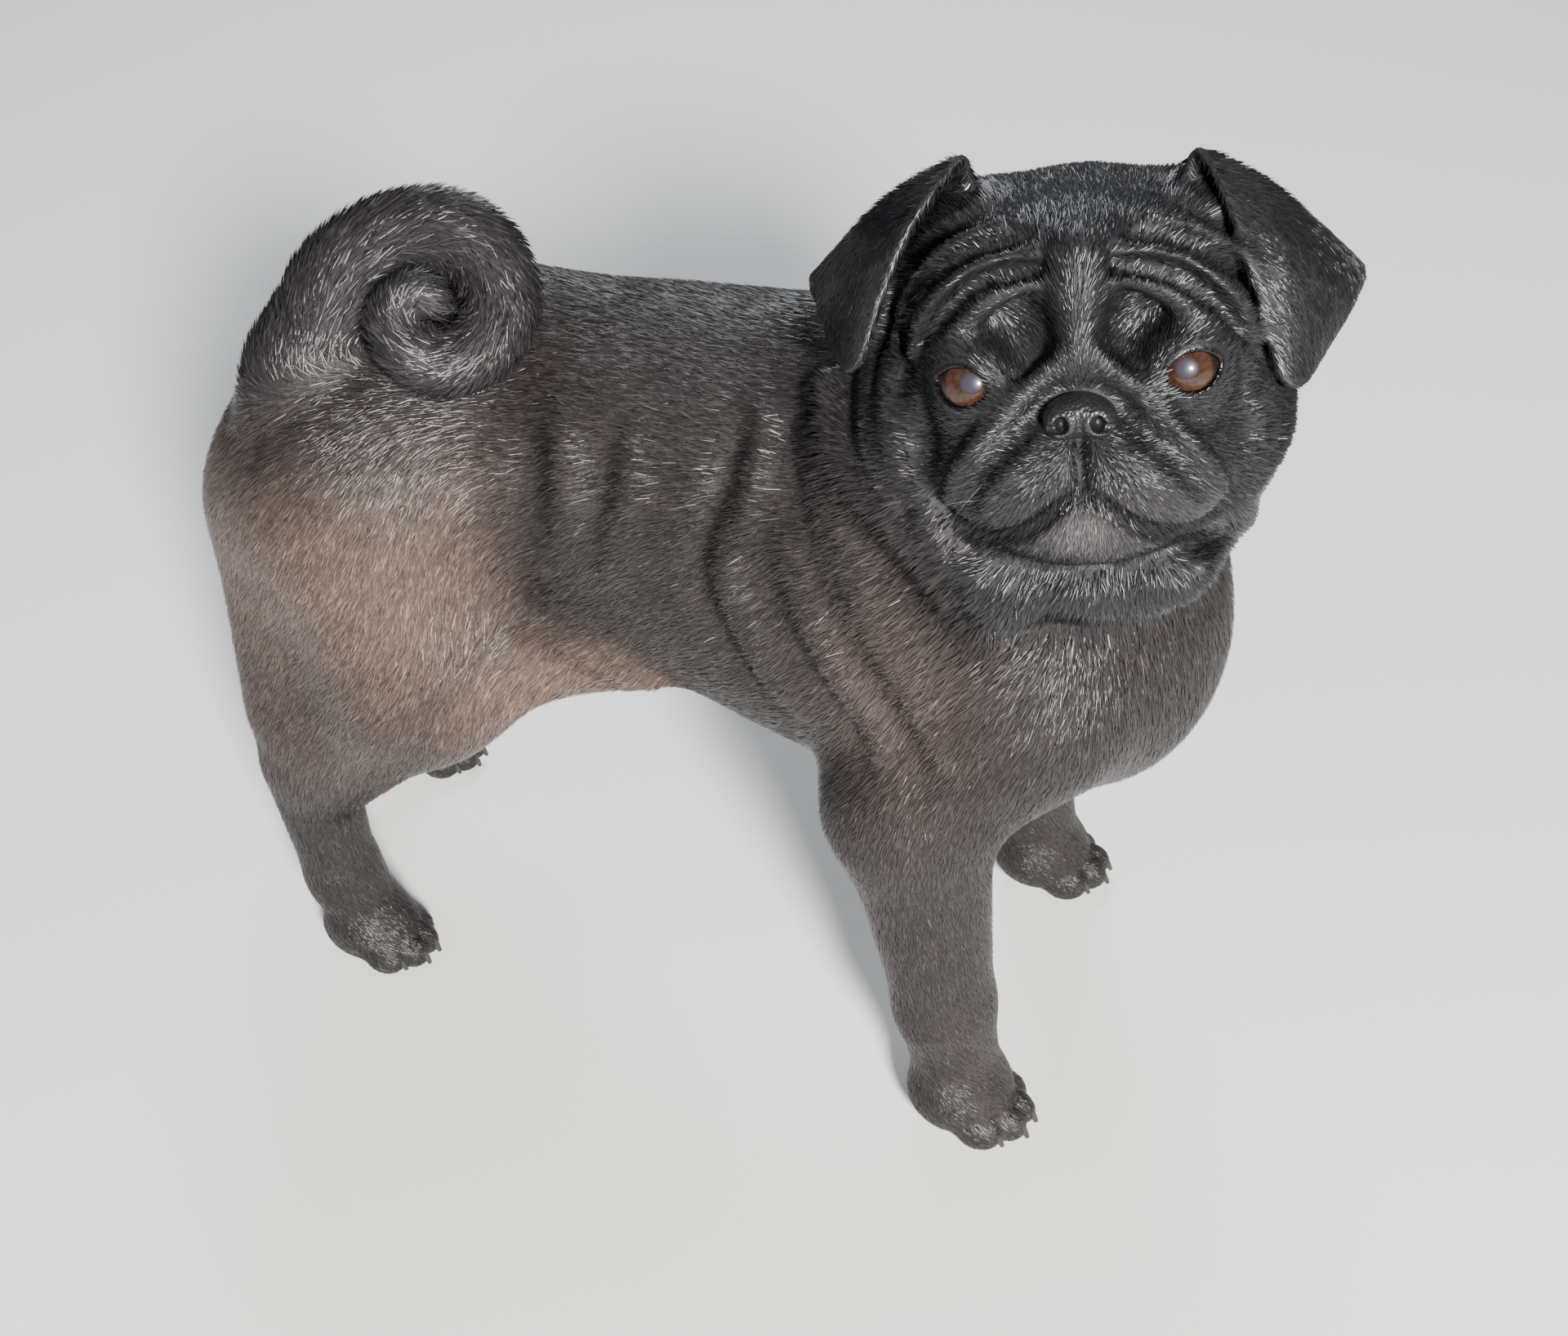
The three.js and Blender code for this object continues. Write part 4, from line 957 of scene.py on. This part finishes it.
def horn_material():
    shader = Shader("pug_claw")
    shader.set(Roughness=0.35)
    noise = shader.node("ShaderNodeTexNoise", Scale=700.0, Detail=2.0)
    return grained(shader, noise, "Fac", (0.012, 0.011, 0.011, 1), (0.028, 0.025, 0.023, 1),
                   0.3, 0.0003)


SKIN = skin_material()
COAT = coat_material()
EYE_LOOK = eye_material()
NOSE_LOOK = nose_material()
HORN = horn_material()

# The nodes that the skin takes the place of
flesh_nodes = ["head", "neck", "torso", "ear_right", "ear_left"]
flesh_nodes += [f"tail_{length}" for length in ("base", "mid", "tip")]
flesh_nodes += [f"{leg}{length}_{NAMES[side]}" for side in SIDES for leg in ("fore", "hind")
                for length in ("leg_upper", "leg_lower", "paw")]


# Wet black rims of the lids: where they fade, how far ahead of the skull's middle they lie at least,
# and how much darker they are
RIM = dict(fade=(1.2, 2.8), ahead=30, dark=0.85)


def lid_rims(p):
    """1 on the rims of the lids, 0 away from them."""
    gap = np.min([opening(side)[0](p) for side in SIDES], 0)
    return (1 - smoothstep(gap, *RIM["fade"])) * (((p - HEAD_AT) @ HEAD[0]) > RIM["ahead"])


rims = lid_rims(points)
skin_colour = markings(points, normals, nearness) * (1 - RIM["dark"] * rims)[:, None]
make_piece("skin", points, quads, SKIN, colours=skin_colour, wet=rims, replaces=flesh_nodes)


# Colours of the eye from its middle outwards, and where each meets the next, in mm from the middle
# The pupil's bluish grey is partly the lens's own haze and partly a painted reflection of the sky
PUPIL_HAZE_AND_REFLECTION, IRIS = vec(0.021, 0.02, 0.029), vec(0.031, 0.0145, 0.009)
LIMBUS, EYE_WHITE = vec(0.008, 0.005, 0.004), vec(0.03, 0.02, 0.017)
PUPIL_EDGE, IRIS_EDGE, LIMBUS_EDGE = (1.8, 3.6), (7.2, 8.2), (9.2, 10)
CORNEA = dict(rise=0.8, inner=math.radians(16), outer=math.radians(38))


# Eyeballs, with the iris drawn round the way each eye looks
def eyeball(side, rings=72, around=96):
    centre = eye_at(side)
    gaze = unit(0.75 * unit(CAMERA_AT - centre) + 0.25 * HEAD[0] + side * 0.06 * HEAD[1])
    across = unit(np.cross(vec(0, 0, 1), gaze))
    tilt = np.linspace(0, math.pi, rings + 1)[1:-1]
    turn = np.linspace(0, 2 * math.pi, around, endpoint=False)
    tilt, turn = np.meshgrid(tilt, turn, indexing="ij")
    tilt, turn = np.append(tilt.ravel(), (0, math.pi)), np.append(turn.ravel(), (0, 0))
    ball = np.stack((np.sin(tilt) * np.cos(turn), np.sin(tilt) * np.sin(turn), np.cos(tilt)), 1)
    bulge = CORNEA["rise"] * (1 - smoothstep(tilt, CORNEA["inner"], CORNEA["outer"]))
    radius = (EYE["radius"] + bulge)[:, None]
    place = centre + (ball * radius) @ np.array((across, np.cross(gaze, across), gaze))

    reach = EYE["radius"] * np.sin(tilt)
    streak = 0.5 + 0.5 * np.sin(turn * 37 + 3 * np.sin(turn * 11)) * np.sin(turn * 23 + reach)
    iris = IRIS * (0.6 + 0.6 * streak)[:, None]
    iris *= (0.7 + 0.4 * smoothstep(reach, 3, 6.5))[:, None]
    behind = tilt >= math.pi / 2
    colour = PUPIL_HAZE_AND_REFLECTION
    for next_colour, share in ((iris, smoothstep(reach, *PUPIL_EDGE)),
                               (LIMBUS, smoothstep(reach, *IRIS_EDGE)),
                               (EYE_WHITE, (smoothstep(reach, *LIMBUS_EDGE) + behind).clip(0, 1))):
        colour = colour * (1 - share[:, None]) + next_colour * share[:, None]

    grid = np.arange((rings - 1) * around).reshape(rings - 1, around)
    following = np.roll(grid, -1, 1)
    squares = np.stack((grid[:-1], grid[1:], following[1:], following[:-1]), -1).reshape(-1, 4)
    top, bottom = grid.size, grid.size + 1
    caps = np.concatenate((np.stack((np.full(around, top), grid[0], following[0]), 1),
                           np.stack((np.full(around, bottom), following[-1], grid[-1]), 1)))
    faces = np.concatenate((squares[:, [0, 1, 2]], squares[:, [0, 2, 3]], caps))
    name = f"eye_{NAMES[side]}"
    make_piece(name + "ball", place, faces, EYE_LOOK, colours=colour, replaces=(name,))


# Camera, at the photo's viewing angle
CAMERA_AT = vec(288, -653, 677)
CAMERA_YAW, CAMERA_PITCH, CAMERA_ROLL = np.radians((22.9, 37.0, -3.3))
# The lens, from its focal length in the photo's pixels and the photo's width
SENSOR = 36
FOCAL = 2814 / 1920 * SENSOR


def make_camera():
    yaw, pitch, roll = CAMERA_YAW, CAMERA_PITCH, CAMERA_ROLL
    ahead = vec(-math.sin(yaw) * math.cos(pitch), math.cos(yaw) * math.cos(pitch), -math.sin(pitch))
    right = vec(math.cos(yaw), math.sin(yaw), 0)
    up = np.cross(right, ahead)
    right, up = (math.cos(roll) * right + math.sin(roll) * up,
                 math.cos(roll) * up - math.sin(roll) * right)
    data = bpy.data.cameras.new("camera")
    data.sensor_width = SENSOR
    data.lens = FOCAL
    camera = bpy.data.objects.new("camera", data)
    turn = Matrix([[right[k], up[k], -ahead[k]] for k in range(3)]).to_4x4()
    camera.matrix_world = Matrix.Translation([float(c) for c in to_model(CAMERA_AT)]) @ turn
    bpy.context.scene.collection.objects.link(camera)
    bpy.context.scene.camera = camera


make_camera()
for side in SIDES:
    eyeball(side)


# Nose, its own leathery piece: a ball with two wings, holes that run out to slits, and a seam
NOSE_GRID = 0.4


def make_nose():
    nose = Flesh()
    ahead, up = NOSE["forward"], NOSE["up"]

    def at(forward, left, rise):
        return in_head(ahead + forward, left, up + rise)

    nose.add("nose", ellipsoid(at(0, 0, 0), NOSE["radii"], HEAD), 0)
    for side in SIDES:
        nose.add("nose", ellipsoid(at(2.4, side * 6, -1.6), vec(5.6, 4.7, 5.2), HEAD), 3)
        hole = in_head(NOSTRIL["forward"], side * NOSTRIL["out"], NOSTRIL["up"])
        nose.add("nose", ellipsoid(hole, NOSTRIL["radii"], HEAD), 1.2, -1)
        slit = [at(7, side * 6.6, -2.6), at(3.8, side * 11.4, -3.4)]
        nose.add("nose", strand(slit, (1.7, 1)), 0.8, -1)
    seam = [at(8, 0, 0.5), at(6.4, 0, -4), at(3.3, 0, -8)]
    nose.add("nose", strand(seam, (0.7, 1.1, 1.1)), 1.2, -1)
    around = [np.arange(c - 18, c + 18, NOSE_GRID) for c in at(0, 0, 0)]
    place, faces = surface(around, nose.whole(around))
    make_piece("nose_leather", place, faces, NOSE_LOOK, replaces=("nose",))


make_nose()


# A tapered tube of a few sides along a path, closed at both ends
def tube(path, thick, sides=6):
    path = np.array(path, float)
    ways = unit(np.gradient(path, axis=0))
    first = unit(np.cross(ways, vec(0.31, 0.47, 0.83)))
    second = np.cross(ways, first)
    turn = np.linspace(0, 2 * math.pi, sides, endpoint=False)[None, :, None]
    circle = np.cos(turn) * first[:, None] + np.sin(turn) * second[:, None]
    rings = path[:, None] + thick[:, None, None] * circle
    place = np.vstack((rings.reshape(-1, 3), path[0], path[-1]))
    grid = np.arange(len(path) * sides).reshape(len(path), sides)
    following = np.roll(grid, -1, 1)
    one = np.stack((grid[:-1], following[:-1], grid[1:]), -1).reshape(-1, 3)
    other = np.stack((following[:-1], following[1:], grid[1:]), -1).reshape(-1, 3)
    start, end = np.full(sides, grid.size), np.full(sides, grid.size + 1)
    return place, np.concatenate((one, other, np.stack((start, following[0], grid[0]), 1),
                                  np.stack((end, grid[-1], following[-1]), 1)))


def gathered(pieces):
    """Many small meshes as one."""
    start, places, faces = 0, [], []
    for place, face_list in pieces:
        places.append(place)
        faces.append(face_list + start)
        start += len(place)
    return np.concatenate(places), np.concatenate(faces)


def make_claws():
    pieces = []
    t = np.linspace(0, 1, 7)
    for toe, heading in toes:
        ahead = np.outer(TOE_RADIUS * 0.7 + CLAW["length"] * t, heading)
        path = toe + ahead + np.outer(2.5 - 6.5 * t ** 1.6, vec(0, 0, 1))
        path[:, 2] = np.maximum(path[:, 2], CLAW["tip"])
        pieces.append(tube(path, CLAW["root"] + (CLAW["tip"] - CLAW["root"]) * t ** 1.3, 10))
    place, faces = gathered(pieces)
    make_piece("claws", place, faces, HORN)


make_claws()


# Coat. Each tuft is a closed sliver of four triangles: a root, two corners at its waist and a tip.
# By part: tufts' length and width, how far their tips lift, and how many times they cover the skin
LENGTH = dict(torso=8, neck=9, head=6.4, ear=4, tail=12, leg=7.5, shin=5.5, paw=3.4)
WIDTH = dict(torso=0.72, neck=0.78, head=0.72, ear=0.42, tail=0.8, leg=0.66, shin=0.58, paw=0.48)
LIFT = dict(torso=1.1, neck=1.5, head=0.8, ear=0.5, tail=2.8, leg=1, shin=0.8, paw=0.5)
COVER = dict(torso=1.75, neck=1.8, head=1.9, ear=1.6, tail=2.2, leg=1.75, shin=1.6, paw=1.5)
# How far tufts swing about the lie of the coat, in radians
SWING = 0.16
# How much the tufts' shading leans at random, and sideways, so that a flat tuft looks round
RUFFLE, ROUND = 0.15, 0.9
# A tuft's root lies under the skin and its waist just over it, at a share of its length
ROOT_UNDER, WAIST_OVER, WAIST = 0.3, 0.12, 0.4
# Lowest places of tufts' roots and of their corners above the floor
ROOT_FLOOR, TUFT_FLOOR = 1.2, 0.35
# Brightness along a tuft: root, waist twice, tip, with painted shade darkening the root. A few tufts
# are pale.
ROOT_SHADE_TO_TIP = vec(0.25, 0.8, 0.8, 1.5)
PALE, PALE_SHARE = vec(0.06, 0.055, 0.052), 0.0015
# Where along the body the loin's coat ends and the chest's begins
CHEST_FROM = 10
PATCH = 0.0015 * np.array(((0, -1), (-0.9, 0), (0.9, 0), (0, 1)))
# A tuft's four faces
FACES = np.array(((0, 1, 3), (0, 3, 2), (0, 2, 1), (1, 2, 3)))


def blended(table, share):
    return share @ vec(*[table[part] for part in PARTS])


def grow_coat():
    """Roots strewn over the skin, with the skin's normal and the shares of the parts at each."""
    triangles = np.concatenate((quads[:, [0, 1, 2]], quads[:, [0, 2, 3]]))
    a, b, c = (points[triangles[:, k]] for k in range(3))
    area = np.linalg.norm(np.cross(b - a, c - a), axis=1) / 2
    share = nearness[triangles].mean(1)
    local = ((a + b + c) / 3 - HEAD_AT) @ HEAD.T
    small = face_smallness(local, share)
    size = 0.5 * blended(LENGTH, share) * blended(WIDTH, share) * small ** 1.7
    expected = blended(COVER, share) * area / size
    count = np.floor(expected + rng.random(len(expected))).astype(int)
    chosen = np.repeat(np.arange(len(triangles)), count)
    u, v = rng.random((2, len(chosen)))
    flip = u + v > 1
    u[flip], v[flip] = 1 - u[flip], 1 - v[flip]
    weights = np.stack((1 - u - v, u, v), 1)[:, :, None]
    corners = triangles[chosen]
    root = (points[corners] * weights).sum(1)
    normal = unit((normals[corners] * weights).sum(1))
    return root, normal, (nearness[corners] * weights).sum(1)


def face_smallness(local, share):
    """Tufts shrink towards the nose."""
    away = np.hypot(local[:, 1], local[:, 2] + 10)
    scale = 0.5 + 0.6 * smoothstep(away, 10, 58)
    return 1 + (scale - 1) * share[:, HEAD_PART]


# How far from the middle of the groove under the nose and of the lips' line no hair grows
PHILTRUM_BARE, LIPS_BARE = 0.85, 0.45


def bare_places(root):
    """True where no hair grows: on the lid rims, on the nose and in the lines round the mouth."""
    bare = lid_rims(root) > 0.3
    local = (root - HEAD_AT) @ HEAD.T
    nose = (local - vec(NOSE["forward"], 0, NOSE["up"])) / NOSE["radii"]
    bare |= (nose ** 2).sum(1) < 1
    above_lips = local[:, 2] > MOUTH_MIDDLE[1]
    for groove in mouth:
        bare |= groove(root) < np.where(above_lips, PHILTRUM_BARE, LIPS_BARE)
    return bare


# Where each tuft lies on the map: each part is rolled out flat in its own square of 4 by 4
MAP_SQUARES = 4
CELLS = dict(body=0, head=1, ears=2, tail=6, legs=7)


def turn_share(y, x):
    """An angle as a share of a full turn."""
    return np.arctan2(y, x) / (2 * math.pi) + 0.5


def unwrap(p, n, share):
    main = share.argmax(1)
    local = (p - HEAD_AT) @ HEAD.T
    place = np.stack(((p[:, 0] + 250) / 470, turn_share(p[:, 1], p[:, 2] - 215)), 1)
    cell = np.full(len(p), CELLS["body"])

    def put(mine, first, second, square):
        place[mine] = np.stack((first, second), 1)[mine]
        cell[mine] = (square + np.zeros(len(p), int))[mine]

    rise = np.arcsin(np.clip(unit(local)[:, 2], -1, 1)) / math.pi + 0.5
    put(main == HEAD_PART, turn_share(local[:, 1], local[:, 0]), rise, CELLS["head"])
    ahead = (n @ HEAD[0]) > 0
    put(main == EAR_PART, np.abs(local[:, 1]) / 50 - 0.8, (local[:, 2] + 20) / 110,
        CELLS["ears"] + (local[:, 1] > 0) + 2 * ahead)
    tail = main == TAIL_PART
    nearest = np.argmin(((p[tail][:, None, :] - TAIL_LINE[None]) ** 2).sum(2), 1)
    out = p[tail] - TAIL_LINE[nearest]
    sideways = (out * unit(TAIL_LINE[nearest] - CURL_AT)).sum(1)
    place[tail] = np.stack((nearest / len(TAIL_LINE), turn_share(out @ CURL_AXIS, sideways)), 1)
    cell[tail] = CELLS["tail"]
    front, left = p[:, 0] > 0, p[:, 1] > 0
    shift = np.where(left, np.where(front, FORE_SHIFT[LEFT], HIND_SHIFT[LEFT]), 0)
    middle_x = np.where(front, 98, -160 + 40 * smoothstep(p[:, 2], 100, 200)) + shift
    middle_y = np.sign(p[:, 1]) * 64
    put(main > TAIL_PART, turn_share(p[:, 1] - middle_y, p[:, 0] - middle_x), p[:, 2] / 300,
        CELLS["legs"] + front + 2 * left)
    place = np.clip(place, 0.01, 0.99)
    return (place + np.stack((cell % MAP_SQUARES, cell // MAP_SQUARES), 1)) / MAP_SQUARES


def fringe(root, local, share):
    """How much further tufts stand out under the jaw, along the collar and on the ears' folds."""
    jaw = smoothstep(-local[:, 2], 48, 64) * (share[:, NECK_PART] + share[:, HEAD_PART])
    edge = np.exp(-(np.maximum(collar[0](root) - 1, 0) / 6) ** 2)
    edge = edge * (share[:, TORSO_PART] + share[:, NECK_PART])
    fold = smoothstep(local[:, 2], 42, 58) * share[:, EAR_PART]
    return 1.3 * jaw + 2 * edge + 3 * fold


def tuft_shapes(root, normal, share, local):
    """Four corners for each tuft, and the normals that they are shaded with."""
    count = len(root)
    way = turned(lie(root, normal, share), normal, rng.normal(0, SWING, count))
    small = face_smallness(local, share)
    length = blended(LENGTH, share) * (rng.uniform(0.72, 1.25, count) * small)
    width = blended(WIDTH, share) * rng.uniform(0.75, 1.25, count) * small ** 0.7
    lift = blended(LIFT, share) * rng.uniform(0.55, 1.25, count) * small
    lift = lift * (1 + fringe(root, local, share))
    # Shorter where the skin bends away under the tuft
    off = np.abs(skin_field.at(root + way * length[:, None]))
    length = length / (1 + np.maximum(off - 0.6, 0) / 2).clip(1, 2.2)
    waist = skin_field.settle(root + way * (WAIST * length)[:, None], WAIST_OVER)
    reach = waist + unit(waist - root) * ((1 - WAIST) * length)[:, None]
    tip = skin_field.settle(reach, lift)
    level = skin_field.slope(waist)
    across = unit(np.cross(level, unit(tip - root)))
    half = across * (width / 2)[:, None]
    corners = np.stack((root - ROOT_UNDER * normal, waist - half, waist + half, tip), 1)
    corners[:, :, 2] = np.maximum(corners[:, :, 2], TUFT_FLOOR)
    muzzle = spot(local[:, 1], local[:, 2], (0, -24), (900, 300)) * (local[:, 0] > 30)
    smooth = 1 - 0.7 * share[:, EAR_PART]
    level = unit(level + rng.normal(0, RUFFLE, (count, 3)) * (smooth + 1.3 * muzzle)[:, None])
    across = ROUND * across * smooth[:, None]
    return corners, np.stack((level, unit(level - across), unit(level + across), level), 1)


def tuft_colours(root, normal, share):
    count = len(root)
    colour = markings(root, normal, share)
    shade = rng.lognormal(0, 0.3, count) * (1 + 0.25 * waves(root, 2.2, 21))
    pale = rng.random(count) < PALE_SHARE
    colour = colour * shade[:, None]
    colour[pale] = PALE
    # Painted shade: each tuft darkens towards its root
    return colour[:, None] * ROOT_SHADE_TO_TIP[None, :, None]


def coat_pieces(root, local, share):
    """The coat's pieces by name, each with the tufts that are in it."""
    main = share.argmax(1)
    right, face_right = root[:, 1] < 0, local[:, 1] < 0
    chest, front = root[:, 0] > CHEST_FROM, root[:, 0] > 0
    trunk, limb = main == TORSO_PART, main > TAIL_PART
    body_sides = (("right", right), ("left", ~right))
    pieces = {}
    for side, mine in body_sides:
        pieces[f"coat_chest_{side}"] = trunk & mine & chest
        pieces[f"coat_loin_{side}"] = trunk & mine & ~chest
    pieces["coat_neck"] = main == NECK_PART
    for part, number in (("head", HEAD_PART), ("ear", EAR_PART)):
        pieces[f"coat_{part}_right"] = (main == number) & face_right
        pieces[f"coat_{part}_left"] = (main == number) & ~face_right
    pieces["coat_tail"] = main == TAIL_PART
    for side, mine in body_sides:
        pieces[f"coat_foreleg_{side}"] = limb & mine & front
        pieces[f"coat_hindleg_{side}"] = limb & mine & ~front
    return pieces


def make_coat():
    root, normal, share = grow_coat()
    kept = ~bare_places(root) & (root[:, 2] > ROOT_FLOOR)
    root, normal, share = root[kept], normal[kept], share[kept]
    local = (root - HEAD_AT) @ HEAD.T
    corners, facing = tuft_shapes(root, normal, share, local)
    a, b, c, d = (corners[:, k] for k in range(4))
    bent = ((d - a) * np.cross(b - a, c - a)).sum(1) < 0
    colour = tuft_colours(root, normal, share)
    place = unwrap(root, normal, share)
    for name, mine in coat_pieces(root, local, share).items():
        some = np.nonzero(mine)[0]
        faces = np.where(bent[some][:, None, None], FACES[None, :, ::-1], FACES[None])
        faces = (faces + 4 * np.arange(len(some))[:, None, None]).reshape(-1, 3)
        uv = (place[some][:, None] + PATCH[None]).reshape(-1, 2)[faces.ravel()]
        make_piece(name, corners[some].reshape(-1, 3), faces, COAT,
                   colours=colour[some].reshape(-1, 3), normals=facing[some].reshape(-1, 3), uv=uv)


make_coat()


# Whiskers, short and swept back
WHISKERS = dict(count=9, root=0.13, tip=0.03, sag=0.18)


def make_whiskers():
    pieces = []
    t = np.linspace(0, 1, 7)[:, None]
    thick = (WHISKERS["root"] - WHISKERS["tip"]) * (1 - t[:, 0]) + WHISKERS["tip"]
    for side in SIDES:
        for _ in range(WHISKERS["count"]):
            start = face(side * rng.uniform(16, 36), rng.uniform(-33, -16), -1)
            way = vec(rng.uniform(0, 0.3), side * rng.uniform(0.6, 1), rng.uniform(-0.6, 0.1))
            way = unit(way @ HEAD)
            length = rng.uniform(9, 15)
            sag = vec(0, 0, -1) * length * WHISKERS["sag"]
            pieces.append(tube(start + way * length * t + sag * t ** 2, thick, 4))
    place, faces = gathered(pieces)
    make_piece("whiskers", place, faces, HORN)


make_whiskers()


# Floor, light and air, in metres. Lights: place, size, power in watts, colour
FLOOR_HALF = 6
FLOOR_COLOUR = (0.68, 0.68, 0.675, 1)
LIGHTS = dict(
    key=((1.3, -1.8, 1.3), 0.4, 290, (1.0, 0.97, 0.93)),
    fill=((-1.6, -1.2, 1.4), 1.6, 8, (0.9, 0.95, 1.0)),
    rim=((-0.7, 1.6, 1.8), 1.0, 40, (0.92, 0.96, 1.0)),
)
# What the lights are aimed at
LIT_AT = vec(0.02, 0, 0.2)
AIR = dict(Color=(0.82, 0.91, 1.0, 1), Strength=0.14)


def make_stage():
    corners = [(x * FLOOR_HALF, y * FLOOR_HALF, 0) for x, y in ((-1, -1), (1, -1), (1, 1), (-1, 1))]
    mesh = bpy.data.meshes.new("floor")
    mesh.from_pydata(corners, [], [(0, 1, 2, 3)])
    floor = bpy.data.objects.new("floor", mesh)
    shader = Shader("floor_paper")
    shader.set(Roughness=0.85, Base_Color=FLOOR_COLOUR)
    mesh.materials.append(shader.material)
    bpy.context.scene.collection.objects.link(floor)
    for name, (place, size, power, colour) in LIGHTS.items():
        data = bpy.data.lights.new(name, "AREA")
        data.shape = "DISK"
        data.size = size
        data.energy = power
        data.color = colour
        light = bpy.data.objects.new(name, data)
        light.rotation_euler = Vector(LIT_AT - vec(*place)).to_track_quat("-Z", "Y").to_euler()
        light.location = place
        bpy.context.scene.collection.objects.link(light)
    world = bpy.data.worlds.new("studio")
    world.use_nodes = True
    for socket, value in AIR.items():
        world.node_tree.nodes["Background"].inputs[socket].default_value = value
    bpy.context.scene.world = world


make_stage()
